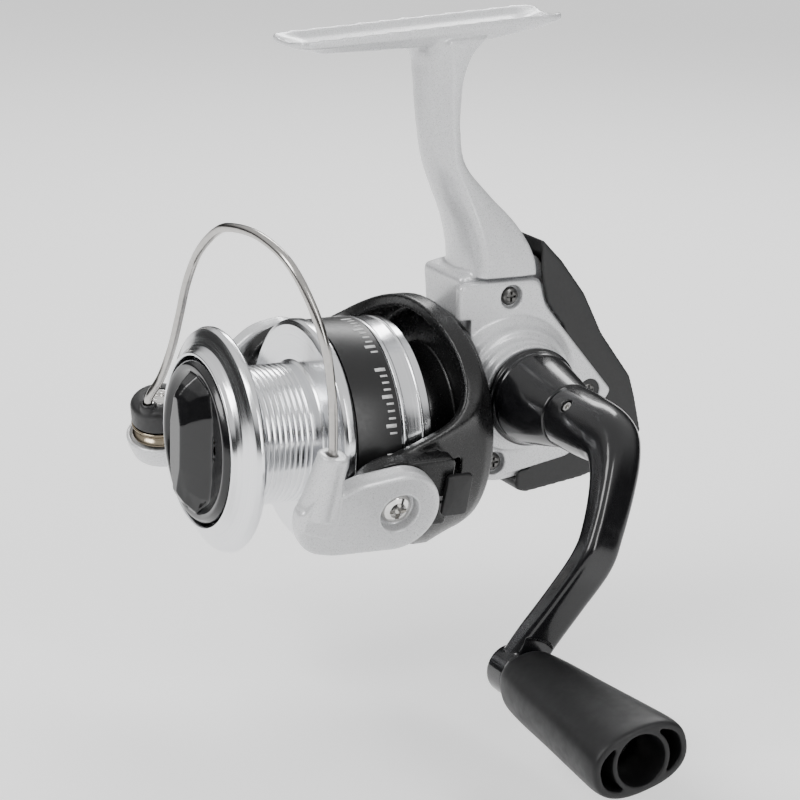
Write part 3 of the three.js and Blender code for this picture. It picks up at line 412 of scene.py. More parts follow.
def black_moulded(name, fine=7.0, low=0.36, high=0.5, tone=0.008):
    """Black moulded plastic with a fine spark grain."""
    s = Surface(name, 0.45, specular=0.45)
    s.colour(s.blend(s.noise(2.2, 4.0), (tone * 0.8,) * 3, (tone * 1.4, tone * 1.4, tone * 1.5)))
    s.rough(s.span(s.noise(1.6, 5.0), low, high))
    s.bump((s.noise(fine, 3.0), 0.005), (s.noise(0.4, 1.0), 0.01))
    return s.material


def grip_rubber():
    """Matte black rubber with a powdery skin and faint rub marks."""
    s = Surface("grip_rubber", 0.5, specular=0.35)
    s.colour(s.blend(s.noise(0.7, 5.0), (0.003, 0.003, 0.0035), (0.006, 0.006, 0.0065)))
    s.rough(s.span(s.noise(0.5, 5.0), 0.42, 0.52))
    s.bump((s.noise(11.0, 3.0), 0.003), (s.noise(0.3, 1.0), 0.01))
    return s.material


def turned_aluminium():
    """Bright aluminium with the fine rings a lathe leaves."""
    s = Surface("turned_aluminium", 0.16, metallic=1.0)
    rings = s.noise(5.0, 4.0, s.around_axis())
    s.colour(s.blend(rings, (0.72, 0.73, 0.75), (0.88, 0.885, 0.9)))
    s.rough(s.span(s.noise(2.4, 5.0, s.around_axis()), 0.1, 0.24))
    s.bump((rings, 0.002),)
    return s.material


def ground_steel(name, tone=0.55, low=0.16, high=0.3, tint=(1.0, 0.985, 0.96)):
    """Ground steel with short scratches and slight stains."""
    s = Surface(name, 0.24, metallic=1.0)
    dark = tuple(tone * 0.8 * c for c in tint)
    light = tuple(tone * 1.15 * c for c in tint)
    scratches = s.noise(6.0, 4.0, stretch=(1.0, 0.25, 1.0))
    s.colour(s.blend(s.noise(0.9, 4.0), dark, light))
    s.rough(s.span(scratches, low, high))
    s.bump((scratches, 0.004))
    return s.material


def cast_zinc():
    s = Surface("cast_zinc", 0.45, metallic=0.9)
    s.colour(s.blend(s.noise(0.8, 5.0), (0.36, 0.37, 0.38), (0.52, 0.53, 0.55)))
    s.rough(s.span(s.noise(1.5, 4.0), 0.34, 0.55))
    s.bump((s.noise(2.0, 4.0), 0.02))
    return s.material


def oiled_felt():
    s = Surface("oiled_felt", 0.9, sheen=0.3)
    s.colour(s.blend(s.noise(4.0, 5.0), (0.10, 0.075, 0.055), (0.22, 0.17, 0.13)))
    s.rough(s.span(s.noise(3.0, 4.0), 0.75, 0.98))
    s.bump((s.noise(9.0, 5.0), 0.12))
    return s.material


def natural_nylon():
    s = Surface("natural_nylon", 0.45, specular=0.45)
    s.colour(s.blend(s.noise(0.7, 4.0), (0.62, 0.60, 0.53), (0.72, 0.70, 0.63)))
    s.rough(s.span(s.noise(1.5, 3.0), 0.38, 0.55))
    s.bump((s.noise(2.5, 3.0), 0.01))
    return s.material


def printed_ink():
    s = Surface("printed_ink", 0.5)
    s.colour(s.blend(s.noise(3.0, 3.0), (0.5, 0.5, 0.5), (0.66, 0.66, 0.66)))
    s.rough(s.span(s.noise(2.0, 3.0), 0.4, 0.6))
    return s.material


PEARL = pearl_paint()
INK = printed_ink()
GLOSS = black_gloss()
SATIN = black_moulded("satin_black")
ROTOR_BLACK = black_moulded("rotor_black", fine=9.0, low=0.24, high=0.34, tone=0.005)
BAND = black_moulded("band_black", fine=4.0, low=0.3, high=0.4, tone=0.007)
RUBBER = grip_rubber()
ALUMINIUM = turned_aluminium()
STEEL = ground_steel("ground_steel")
WIRE = ground_steel("stainless_wire", tone=0.46, low=0.14, high=0.26, tint=(1.0, 0.97, 0.93))
CHROME = ground_steel("bright_plate", tone=0.75, low=0.05, high=0.12)
DARK_STEEL = ground_steel("black_oxide", tone=0.12, low=0.25, high=0.4)
BRASS = ground_steel("machined_brass", tone=0.7, low=0.18, high=0.32, tint=(1.0, 0.78, 0.42))
BRONZE = ground_steel("bronze_roller", tone=0.3, low=0.1, high=0.22, tint=(1.0, 0.84, 0.62))
ZINC = cast_zinc()
FELT = oiled_felt()
NYLON = natural_nylon()

BY_SLOT = {"pearl_paint": PEARL, "gloss_black": GLOSS, "satin_black": SATIN, "matte_black": RUBBER,
           "aluminium": ALUMINIUM, "steel": STEEL, "chrome": CHROME, "dark_steel": DARK_STEEL, "brass": BRASS,
           "bronze": BRONZE, "zinc": ZINC, "felt": FELT, "nylon": NYLON}
for part in frame["record"]["subparts"]:
    node = frame["nodes"][part["node"]]
    node.data.materials.clear()
    node.data.materials.append(BY_SLOT[part["material_slot"]])
    node.data.shade_smooth()
    node.data.set_sharp_from_angle(angle=math.radians(30))

# ---------------------------------------------------------------- foot, stem and housing

FOOT_FRONT, FOOT_REAR, FOOT_HALF = -32.5, 25.5, 7.25
FOOT_DEPTH = [(-32.5, 1.6), (-26.5, 3.2), (-9, 4.0), (9, 4.2), (20.5, 3.0), (25.5, 1.8)]
STEM_LEVELS = [  # z, nose, ridge, back, half width; the tilt near the top follows the foot's pitch
    (77.6, -8.5, 0.0, 9.0, 6.9), (74.5, -4.9, 0.6, 5.8, 6.75), (70, -4.0, 1.0, 4.1, 6.6),
    (65, -3.4, 1.2, 3.8, 6.45), (60, -2.7, 1.5, 3.8, 6.4), (53, -1.1, 2.3, 5.2, 6.5), (47, 1.3, 4.8, 10.2, 7.0),
    (40, 4.6, 7.5, 16.9, 8.0), (33, 6.4, 9.0, 20.9, 8.55), (26, 6.2, 9.0, 21.2, 8.6)]
FOOT_PLACE = Matrix.Translation((0, 0, FOOT_EDGE_Z)) @ turn(FOOT_PITCH_DEG, "X")


def foot():
    """The curved plate that the rod's hoods clamp, with a trough along its top."""
    rings = []
    for y in np.linspace(FOOT_FRONT, FOOT_REAR, 90):
        end = min(y - FOOT_FRONT, FOOT_REAR - y)
        rounding = 1 - min(end / 2.5, 1)
        half = FOOT_HALF - 2.2 * (1 - math.sqrt(1 - rounding ** 2))
        depth = np.interp(y, [p[0] for p in FOOT_DEPTH], [p[1] for p in FOOT_DEPTH])
        k = half / FOOT_HALF
        trough = min(2.2, depth - 0.9)
        section = [(7.25, 0), (6.4, -0.25), (4.6, -trough * 0.62), (2.2, -trough), (-2.2, -trough),
                   (-4.6, -trough * 0.62), (-6.4, -0.25), (-7.25, 0), (-7.25, -min(1.6, depth * 0.75)),
                   (-5.2, -depth), (5.2, -depth), (7.25, -min(1.6, depth * 0.75))]
        rings.append([(x * k, y, z) for x, z in section])
    return placed(loft("foot", rings), FOOT_PLACE)


def stem():
    """The neck between foot and housing: a front flank, a crease, a narrow side and a flat back."""
    levels = smooth_path([(z, nose, ridge, back, half) for z, nose, ridge, back, half in STEM_LEVELS], 80)
    rings = []
    slope = math.tan(math.radians(FOOT_PITCH_DEG))
    for z, nose, ridge, back, half in levels:
        lean = slope * np.clip((z - 70) / 7, 0, 1)
        run = ridge - nose
        side = [(0.0, nose), (0.27, nose + 0.06 * run), (0.5, nose + 0.2 * run), (0.7, nose + 0.4 * run),
                (0.87, nose + 0.68 * run), (1.0, ridge), (1.0, ridge + 0.5 * (back - ridge)), (0.98, back - 0.5),
                (0.72, back), (0.3, back + 0.05)]
        ring = [(half * x, y, z + lean * y) for x, y in side]
        ring += [(-half * x, y, z + lean * y) for x, y in reversed(side[1:])]
        rings.append(ring)
    return loft("stem", rings)


HOUSING = [(6, 12), (5.2, 22), (4.4, 30), (22.4, 33.5), (32.6, 17), (41.2, 4.5), (43, -3), (36, -10.6),
           (14, -13.2), (6, -12)]
POCKET = [(7.4, 11), (7, 20), (14, 22), (24, 22.4), (31, 16.2), (39.6, 4), (41.2, -2.6), (35.2, -9),
          (14.4, -11.6), (7.4, -10.6)]
COVER = [(2.9, 29.2), (21.2, 29), (22.9, 23.7), (39.6, 4.2), (38.4, 2.4), (30.1, -9), (13.7, -11.9),
         (10.5, -12.4), (5.9, -2), (5.8, 12), (2.8, 21)]
COVER_BASE = [(5.2, 22), (4.4, 29.2), (21.6, 29.2), (32.6, 17), (41.2, 4.5), (43, -3), (36, -10.6), (14, -13.2),
              (6, -12)]
SCREWS = [(14.8, 26), (12.3, -8.6), (34.2, 4.6)]
HOUSING_LEFT, SEAM_X, COVER_STEP_X, COVER_FACE_X = -10.2, 6.0, 7.4, 9.3


def body_casting():
    flange = lathe("flange", [(0, 2.5), (18.6, 2.5), (18.6, 7.6), (0, 7.6)], 128, ease=0.6)
    nose = lathe("nose", [(0, -3.6), (12.4, -3.6), (12.4, 4), (0, 4)], 96)
    boss = lathe("boss", [(0, 0), (11.6, 0), (12.6, 0.9), (13.4, 3), (13.4, 6), (0, 6)], 96, ease=0.5)
    placed(boss, Matrix.Translation((-12.5, CRANK_Y, CRANK_Z)) @ ALONG_X)
    shell = plate("shell", HOUSING, HOUSING_LEFT, SEAM_X, edge=0.9, corner=1.5)
    cuts = [
        plate("cutter", POCKET, HOUSING_LEFT + 1.6, SEAM_X + 1, edge=0.1, corner=1.0, steps=1),
        y_rod(7.9, -5, 9), y_rod(10.6, -5, 2.7), bar(-7.6, 7.6, 3.9, 9, -7.2, 17.4),
        x_rod(11.8, -8.4, 7, CRANK_Y, CRANK_Z, 96), x_rod(6.9, -11.6, -7.9, CRANK_Y, CRANK_Z),
        x_rod(4.9, -20, -8, CRANK_Y, CRANK_Z), bar(SEAM_X, 30, 5.4, 12, -22, 22),
        bar(SEAM_X, 20, -1, 26, 26, 29.9), bar(-1.9, 1.9, 9.2, 16.8, -15, -8)]
    return cast("body_casting", [shell, foot(), stem(), flange, nose, boss], cuts, 0.34, 2)


def cover_casting():
    base = plate("base", COVER_BASE, SEAM_X + 0.3, COVER_STEP_X + 0.3, edge=0.35, corner=1.2)
    face = plate("face", COVER, COVER_STEP_X - 0.2, COVER_FACE_X, edge=0.6, corner=1.4)
    boss = lathe("boss", [(0, 7.0), (15.2, 7.0), (14.6, 9.4), (13.2, 10.4), (12.5, 12.4), (10.9, 12.7), (10.9, 14.4),
                          (10.3, 14.6), (10.3, 16.6), (0, 16.6)], 128, ease=0.5)
    placed(boss, Matrix.Translation((0, CRANK_Y, CRANK_Z)) @ ALONG_X)
    cuts = [x_rod(6.9, 5, 11.9, CRANK_Y, CRANK_Z), x_rod(5.6, 5, 20, CRANK_Y, CRANK_Z),
            bar(-30, 30, -30, 5.7, -30, 22)]
    cuts += [x_rod(2.45, COVER_STEP_X + 0.3, 12, y, z) for y, z in SCREWS]
    cuts += [x_rod(1.3, 5, 12, y, z, 32) for y, z in SCREWS]
    return cast("cover_casting", [base, face, boss], cuts, 0.25, 3)


def cross_screw(name, head, rise, shank, length):
    """A domed screw with a cross recess, its axis along x and its seat at x = 0."""
    dome = [(0, -length), (shank, -length), (shank, 0), (head, 0), (head, rise * 0.35), (head * 0.86, rise * 0.75),
            (head * 0.55, rise), (0, rise)]
    screw = placed(lathe(name, dome, 64, ease=0.12), ALONG_X)
    reach, half = head * 0.56, head * 0.13
    for sides in ((reach, half), (half, reach)):
        cutter = bar(rise * 0.45, rise + 1, -sides[0], sides[0], -sides[1], sides[1])
        cut = screw.modifiers.new("cut", "BOOLEAN")
        cut.solver = "MANIFOLD"
        cut.object = cutter
        bake(screw)
        bpy.data.objects.remove(cutter)
    return screw


GUARD_OUTER = [(21.6, 37.4), (26.4, 32.6), (32.2, 25.2), (36.8, 16.4), (44.2, 6.6), (45.6, 2.2), (47.6, -5.8),
               (37, -13.2), (33.6, -14.2), (20.2, -16), (18, -15.2)]
GUARD_INNER = [(18, -13.2), (36.2, -11), (43.4, -3), (41.6, 4.7), (33, 17.2), (22.8, 33.9)]
GUARD_NEAR = [(18, -11.5), (30.4, -9.5), (38.9, 2.2), (40.2, 4.3), (23.3, 24), (21.9, 30)]


def guard_moulding():
    parts = [plate("band", GUARD_OUTER + GUARD_INNER, -10.6, 8.6, edge=0.35, corner=0.7),
             plate("near", GUARD_OUTER + GUARD_NEAR, COVER_STEP_X + 0.6, 8.9, edge=0.3, corner=0.7),
             plate("far", GUARD_OUTER + GUARD_NEAR, -11.6, HOUSING_LEFT - 0.4, edge=0.3, corner=0.7)]
    cuts = [x_rod(15.6, -20, 20, CRANK_Y, CRANK_Z, 96)]
    return cast("guard_moulding", parts, cuts, 0.3, 2)


piece(body_casting(), REEL, "reel_body", PEARL, ["body_housing"], 0)
piece(cover_casting(), REEL, "reel_body", PEARL, ["side_cover"], 0)
piece(guard_moulding(), REEL, "reel_body", SATIN, ["rear_guard"], 0)
for number, (y, z) in enumerate(SCREWS, 1):
    screw = cross_screw(f"cover_screw_{number}", 1.9, 1.1, 0.9, 3.4)
    piece(screw, REEL @ Matrix.Translation((COVER_STEP_X + 0.5, y, z)), "reel_body", DARK_STEEL,
          [f"side_cover_screw_{number}"])
cap = lathe("bore_cap", [(0, -16.4), (2.2, -16.4), (2.6, -16.0), (5.6, -16.0), (6.2, -16.4), (6.9, -16.4),
                         (7.4, -15.6), (7.4, -12.8), (4.5, -12.8), (4.5, -11.7), (0, -11.7)], 96, ease=0.3)
piece(placed(cap, ALONG_X), CRANK_AXIS, "reel_body", SATIN, ["shaft_bore_cap"])

# ---------------------------------------------------------------- crank and knob

COLLAR_X, CRANK_SEAM_X = 17.3, 33.0
ARM_STATIONS = [  # x, reach, lean of the section, half width across, half thickness, squareness
    (33.15, 0, 0, 6.35, 6.35, 1.0), (36, 0, 0, 6.35, 6.35, 1.0), (40, 0, 0, 6.3, 6.25, 1.0),
    (46, 0.3, 12, 5.7, 5.8, 0.85), (51.5, 2.8, 42, 4.6, 4.2, 0.6), (55.5, 8.6, 63, 4.0, 3.1, 0.45),
    (58.5, 16, 76, 3.7, 2.7, 0.42), (59.6, 22.4, 93, 3.7, 2.7, 0.42), (57, 32, 107, 3.6, 2.6, 0.42),
    (54.2, 41, 108, 3.8, 2.7, 0.5), (53, 47, 108, 4.2, 2.9, 0.7)]
SET_SCREW_X, SET_SCREW_DEG = 38.4, 164.4


def crank_arm():
    """The swept arm: round at the collar, a chamfered bar below the elbow."""
    rings = []
    for x, reach, lean, across, through, square in smooth_path(ARM_STATIONS, 110):
        tilt = math.radians(lean)
        ring = []
        for a in np.linspace(0, 2 * math.pi, 48, endpoint=False):
            c, s = math.cos(a), math.sin(a)
            u = math.copysign(abs(c) ** square, c) * across
            v = math.copysign(abs(s) ** square, s) * through
            ring.append((x + v * math.sin(tilt), u, -reach + v * math.cos(tilt)))
        rings.append(ring)
    arm = loft("arm", rings)
    boss = placed(lathe("boss", [(0, 50), (4.4, 50), (4.9, 50.5), (4.9, 56.1), (0, 56.1)], 64, ease=0.3),
                  Matrix.Translation((0, 0, -CRANK_REACH)) @ ALONG_X)
    screw_hole = placed(y_rod(1.3, 4.4, 9, 32), Matrix.Translation((SET_SCREW_X, 0, 0)) @ turn(SET_SCREW_DEG, "X"))
    cuts = [x_rod(2.3, 40, 65, 0, -CRANK_REACH), x_rod(8, KNOB_START - 0.4, 80, 0, -CRANK_REACH),
            x_rod(2.4, 30, 38), screw_hole]
    return cast("crank_arm_casting", [arm, boss], cuts, 0.22, 2)


KNOB_SECTIONS = [(0.0, 5.0, 4.9), (0.015, 5.6, 5.4), (0.06, 6.3, 5.9), (0.2, 7.1, 6.2), (0.45, 8.0, 6.35),
                 (0.75, 9.2, 6.5), (0.93, 9.85, 6.5), (0.975, 9.75, 6.35), (1.0, 9.3, 5.9)]


def oval(x, wide, thin, square=0.82, count=72):
    tilt = math.radians(KNOB_TURN_DEG)
    ring = []
    for a in np.linspace(0, 2 * math.pi, count, endpoint=False):
        c, s = math.cos(a), math.sin(a)
        u = math.copysign(abs(c) ** square, c) * wide
        v = math.copysign(abs(s) ** square, s) * thin
        ring.append((x, u * math.cos(tilt) - v * math.sin(tilt), u * math.sin(tilt) + v * math.cos(tilt)))
    return ring


def grip():
    """The tapering knob, with a screw well and two pockets in its end."""
    length = KNOB_END - KNOB_START
    body = loft("grip", [oval(KNOB_START + t * length, w, h) for t, w, h in smooth_path(KNOB_SECTIONS, 70)])
    pocket = loft("cutter", [oval(KNOB_END - 9, 7.9, 4.5), oval(KNOB_END + 1, 8.35, 4.85)])
    keep = pocket.modifiers.new("ring", "BOOLEAN")
    keep.solver = "MANIFOLD"
    core = x_rod(5.9, KNOB_END - 20, KNOB_END + 5, segments=96)
    keep.object = core
    bake(pocket)
    bpy.data.objects.remove(core)
    cuts = [x_rod(2.35, KNOB_START - 5, KNOB_END), x_rod(4.9, KNOB_END - 12.4, KNOB_END + 1, segments=96), pocket]
    return cast("grip_moulding", [body], cuts, 0.25, 3)


collar = lathe("crank_collar_turned", [(2.4, COLLAR_X), (10.1, COLLAR_X), (10.1, 18.3), (9.55, 18.6), (9.55, 19.6),
               (9.3, 20.0), (6.45, 32.6), (6.1, CRANK_SEAM_X - 0.15), (2.4, CRANK_SEAM_X - 0.15)], 128, ease=0.3)
piece(placed(collar, ALONG_X), CRANK_AXIS, "crank", GLOSS, ["crank_collar"])
piece(crank_arm(), CRANK, "crank", GLOSS, ["crank_arm"], 0)
piece(placed(lathe("set_screw", [(0, 3.2), (1.0, 3.2), (1.0, 5.9), (0.5, 5.9), (0.5, 5.3), (0, 5.3)], 32, ease=0.08),
             turn(SET_SCREW_DEG, "X")),
      CRANK @ Matrix.Translation((SET_SCREW_X, 0, 0)), "crank", STEEL, ["crank_set_screw"])
piece(grip(), KNOB, "handle_knob", RUBBER, ["crank_knob"], 0)

# ---------------------------------------------------------------- rotor

ROTOR_EDGE = [(-90, -3.6), (-60, -1.9), (-44, -2), (-33, -4), (-26, -8), (-19, -18.2), (-12, -24.4), (-7, -28),
              (7, -28), (13, -23), (20, -17.6), (29, -12), (38, -9.2), (50, -6.6), (65, -4.8), (90, -3.6)]
PAD_IN, PAD_OUT, PAD_RADIUS = 24.2, 27.5, 8.6


def rotor_edge(angle):
    """Height of the rotor's front edge at an angle from an arm's middle, averaged over a short arc."""
    folded = (math.degrees(angle) + 90) % 180 - 90
    reach = 5.0
    samples = np.linspace(folded - reach, folded + reach, 7)
    heights = np.interp((samples + 90) % 180 - 90, [p[0] for p in ROTOR_EDGE], [p[1] for p in ROTOR_EDGE])
    return float(np.mean(heights))


def rotor_moulding():
    """The cup that turns round the spool, with its two arms and their pivot pads."""
    shell = lathe("shell", [(23.1, FRONT), (25.6, FRONT), (25.6, FRONT + 3.6), (25.2, FRONT + 4.1), (23.4, 2.2),
                            (22.4, 4.4),
                            (21.2, 5.2), (19.6, 5.2), (20.2, 1.8), (13.4, 1.8), (13.4, -4.6), (3.35, -4.6),
                            (3.35, -9), (6.5, -9), (6.5, -6.4), (14, -6.4), (15, -5.6), (15, 0.2), (22, 0.2),
                            (23.1, -0.4)], 240, ease=0.3, front_edge=rotor_edge)
    placed(shell, Matrix.Translation((0, -PIVOT_Y, 0)))
    parts = [shell]
    cuts = []
    for side in (0, 180):
        flip = turn(side, "Y")
        pad = placed(lathe("pad", [(0, PAD_IN), (PAD_RADIUS, PAD_IN), (PAD_RADIUS, PAD_OUT), (0, PAD_OUT)], 96, 0.4),
                     ALONG_X)
        root = plate("root", [(0, -8), (13.5, -8.6), (13.5, 8.0), (0, 8.0)], PAD_IN, PAD_OUT, edge=0.4, corner=2.0)
        parts += [placed(pad, flip), placed(root, flip)]
        cuts.append(placed(bar(20, 24.6, 5, 17, -5, 5), flip))
        for z0, z1 in ((-12.6, -7.4), (-6.2, -0.9)):
            cuts.append(placed(plate("cutter", [(9.5, z1), (19.5, z1), (19.5, z0), (13.2, z0)], 24.0, 40,
                                     edge=0.1, corner=0.8, steps=1), flip))
    cuts += [x_rod(1.9, -40, 40), x_rod(4.4, 26, 30)]
    return cast("rotor_moulding", parts, cuts, 0.3, 3)


piece(rotor_moulding(), ARMS, "rotor_unit", ROTOR_BLACK, ["rotor"], 0)
for side, name in ((0, "near"), (180, "far")):
    screw = placed(cross_screw(f"pivot_screw_{name}", 3.2, 1.6, 1.6, 5.5), Matrix.Translation((29.8, 0, 0)))
    piece(placed(screw, turn(side, "Y")), ARMS, "rotor_unit", CHROME, [f"bail_pivot_screw_{name}"])
cover = plate("spring_cover", [(11.5, -4.6), (17, -4.6), (17, 4.6), (11.5, 4.6)], 27.7, 28.9, edge=0.25, corner=1.0)
piece(cover, ARMS, "rotor_unit", SATIN, ["bail_spring_cover"])

# ---------------------------------------------------------------- bail

HOLDER_IN, HOLDER_OUT, SCREW_SEAT = 27.9, 32.3, 29.7
TOWER_BASE, TOWER_TOP = Vector((30.0, -16.9, 0.6)), Vector((29.44, -14.9, 13.6))
WIRE_ROUTE = [  # from the near holder over the spool to the line roller's cap
    (29.44, -35.2, 11.4), (29.2, -35.8, 17), (28.5, -37.1, 26), (26.3, -39, 35.6), (22.2, -40.8, 41.9),
    (15.3, -43.1, 47.2), (5.4, -44.9, 47.8), (-6.3, -45.9, 43.8), (-11.7, -45.8, 40.1), (-17.65, -45.6, 33.65),
    (-22.7, -44.7, 27), (-25.2, -44.5, 20.5), (-26.6, -44.4, 13), (-27.2, -45, 4.7), (-27, -46.6, -1.6),
    (-27.1, -48.6, -6.4), (-27.1, -48.1, -10.1)]
WIRE_RADIUS = 0.9


def round_end(radius, start_deg, end_deg, steps=24):
    return [(radius * math.cos(math.radians(a)), radius * math.sin(math.radians(a)))
            for a in np.linspace(start_deg, end_deg, steps)]


def cone(name, base, top, base_radius, top_radius):
    length = (top - base).length
    made = lathe(name, [(0, 0), (base_radius, 0), (top_radius, length), (0, length)], 64, ease=0.5)
    lean = Vector((0, 1, 0)).rotation_difference(top - base).to_matrix().to_4x4()
    return placed(made, Matrix.Translation(base) @ lean)


def holder_casting():
    """The near bail arm: a disc on the pivot and a deep toe that carries the wire's tower."""
    outline = round_end(8.8, 100, -88) + [(-13, -8.4), (-17.4, -7.3), (-20, -5.2), (-21.2, -1.6), (-21.2, 2.6),
                                          (-13.0, 6.0), (-9.5, 7.6)]
    disc = plate("disc", outline, HOLDER_IN, HOLDER_OUT, edge=1.1, corner=1.6)
    toe = loft("toe", [[(x, y, z) for y, z in ring] for x, ring in (
        (28.2, [(-21, -1.6), (-20.4, 3.4), (-17.6, 9.5), (-12.4, 9.0), (-11.6, 1), (-13.5, -4)]),
        (32.6, [(-20.4, -1.4), (-20.0, 3.0), (-17.2, 8.6), (-13.6, 8.2), (-13.2, 1), (-14.2, -3.6)]))])
    tower = cone("tower", TOWER_BASE, TOWER_TOP, 3.9, 3.0)
    cuts = [x_rod(1.9, 20, 40), x_rod(4.1, SCREW_SEAT, 40, segments=96), bar(20, 25.3, -30, 10, -20, 20),
            cone("cutter", Vector((29.44, -14.9, 10.8)), Vector((29.3, -15.6, 16)), 1.15, 1.15)]
    return cast("holder_casting", [disc, toe, tower], cuts, 0.22, 4)


CAP_DEPTH, ROLLER_WIDTH, CUP_DEPTH = 5.4, 3.0, 6.6
ROLLER_TOP = -CAP_DEPTH - 0.25
CUP_RIM = ROLLER_TOP - ROLLER_WIDTH - 0.25


def lever_casting():
    """The far bail arm, which ends in the cup that carries the line roller."""
    cup = lathe("cup", [(0, CUP_RIM - CUP_DEPTH), (4.2, CUP_RIM - CUP_DEPTH + 0.4), (6.4, CUP_RIM - 4.6),
                        (7.3, CUP_RIM - 2.0), (7.7, CUP_RIM), (6.9, CUP_RIM + 0.5), (6.7, CUP_RIM - 0.6),
                        (2.6, CUP_RIM - 0.6), (2.6, CUP_RIM - 0.1), (0, CUP_RIM - 0.1)], 96, ease=0.6)
    outline = round_end(8.2, 90, -80) + [(-8, -8), (-17, -17), (-22.5, -17), (-22, -12), (-16, -3), (-6, 7)]
    disc = plate("disc", outline, -HOLDER_OUT + 0.8, -HOLDER_IN, edge=0.9, corner=3.0)
    cuts = [placed(lathe("cutter", [(0, CUP_RIM), (6.6, CUP_RIM), (6.6, 2), (0, 2)], 96, 0), ROLLER_IN_ARMS),
            x_rod(1.9, -40, -20), x_rod(4, -40, -SCREW_SEAT, segments=96),
            placed(lathe("cutter", [(0, CUP_RIM - 5), (1.5, CUP_RIM - 5), (1.5, CUP_RIM + 6), (0, CUP_RIM + 6)], 48, 0),
                   ROLLER_IN_ARMS)]
    return cast("lever_casting", [placed(cup, ROLLER_IN_ARMS), disc], cuts, 0.22, 4)


def roller_cap():
    cap_body = lathe("cap", [(0, -CAP_DEPTH), (6.1, -CAP_DEPTH), (6.1, -1.4), (5.5, -0.5), (4.4, 0), (0, 0)], 96, 0.4)
    bump = placed(lathe("bump", [(0, -3.4), (1.9, -3.4), (1.75, 0.6), (1.2, 1.1), (0, 1.1)], 48, 0.3),
                  Matrix.Translation((2.4, 0, 3.2)))
    cuts = [lathe("cutter", [(0, -9), (1.5, -9), (1.5, 2), (0, 2)], 48, 0),
            lathe("cutter", [(0, -1.4), (3, -1.4), (3, 2), (0, 2)], 64, 0),
            placed(lathe("cutter", [(0, -2.6), (1.15, -2.6), (1.15, 3), (0, 3)], 32, 0),
                   Matrix.Translation((2.4, 0, 3.2)))]
    return cast("roller_cap", [cap_body, bump], cuts, 0.16, 2)


piece(holder_casting(), ARMS, "bail", PEARL, ["bail_holder"], 0)
piece(lever_casting(), ARMS, "bail", PEARL, ["bail_lever"], 0)
piece(tube("bail_wire_rod", [(x, y - PIVOT_Y, z) for x, y, z in WIRE_ROUTE], WIRE_RADIUS), ARMS, "bail", WIRE,
      ["bail_wire"])
piece(roller_cap(), ROLLER, "bail", SATIN, ["line_roller_cap"], 0)
roller = lathe("line_roller_turned", [(2.5, ROLLER_TOP), (6.1, ROLLER_TOP), (6.3, ROLLER_TOP - 0.3),
               (5.9, ROLLER_TOP - 0.8), (5.1, ROLLER_TOP - 1.5), (5.9, ROLLER_TOP - 2.2), (6.3, ROLLER_TOP - 2.7),
               (6.1, ROLLER_TOP - ROLLER_WIDTH), (2.5, ROLLER_TOP - ROLLER_WIDTH)], 96, ease=0.3)
piece(roller, ROLLER, "roller", BRONZE, ["line_roller"])
roller_screw = lathe("roller_screw", [(0, CUP_RIM - 4.4), (1.2, CUP_RIM - 4.4), (1.2, -1.2), (2.7, -1.2),
                                      (2.7, -0.2), (2.3, 0.1), (1.25, 0.1), (1.1, -0.5), (0, -0.5)], 64, ease=0.12)
piece(roller_screw, ROLLER, "bail", CHROME, ["line_roller_screw"])

# ---------------------------------------------------------------- spool and drag

ARBOR_RADIUS, GROOVES, GROOVE_FRONT, GROOVE_REAR = 13.9, 10, -42.3, -30.6
GROOVE_PITCH = (GROOVE_REAR - GROOVE_FRONT) / GROOVES
grooves = []
for i in range(GROOVES):
    y = GROOVE_FRONT + GROOVE_PITCH * (i + 0.5)
    grooves += [(ARBOR_RADIUS, y - 0.2), (ARBOR_RADIUS - 0.22, y), (ARBOR_RADIUS, y + 0.2)]
SPOOL_PROFILE = [
    (16.9, -49.4), (17.1, -49.7), (17.6, -49.6), (18.0, -48.7), (18.9, -47.8), (20.6, -47.0), (21.9, -46.4),
    (22.4, -45.6), (22.4, -44.9), (22.1, -44.4), (20.8, -44.0), (16.5, -43.7), (14.4, -43.5), (ARBOR_RADIUS, -43.0),
    *grooves,
    (ARBOR_RADIUS, -28.9), (14.4, -28.4), (21.3, -28.4), (22.2, -27.9), (22.45, -27.2), (22.45, -25.9),
    (22.2, -25.5), (21.6, -25.3), (21.5, -15.3), (21.85, -15.1), (21.85, -14.5), (21.6, -14.2), (21.5, -11.0),
    (21.75, -10.8), (21.6, -10.4), (21.5, -8.9), (21.3, -8.6), (20.2, -8.6), (20.2, -26.6), (5.4, -26.6),
    (5.4, -24.4), (2.1, -24.4), (2.1, -32.6), (11.4, -32.6), (11.4, -45.8), (15.4, -45.8), (16.4, -47.0)]


def spool_band():
    """The black band round the skirt, with a ring of capacity marks printed on it."""
    return lathe("capacity_band", [(21.9, -25.0), (22.0, -25.0), (22.0, -15.6), (21.9, -15.6)], 192, ease=0.04)


def band_marks():
    """Printed ticks near the band's rear edge, in groups like a scale."""
    inner, outer, rear = 21.96, 22.04, -16.6
    points, faces = [], []
    for i in range(96):
        if i % 12 in (10, 11):
            continue
        angle = 2 * math.pi * i / 96
        half = 0.009 if i % 4 else 0.016
        front = rear - (1.5 if i % 4 else 2.2)
        first = len(points)
        for r in (inner, outer):
            for a in (angle - half, angle + half):
                for y in (front, rear):
                    points.append((r * math.cos(a), y, -r * math.sin(a)))
        corners = ((0, 1, 3, 2), (4, 6, 7, 5), (0, 4, 5, 1), (2, 3, 7, 6), (0, 2, 6, 4), (1, 5, 7, 3))
        faces += [[first + c for c in face] for face in corners]
    return new_object("band_marks", points, faces)


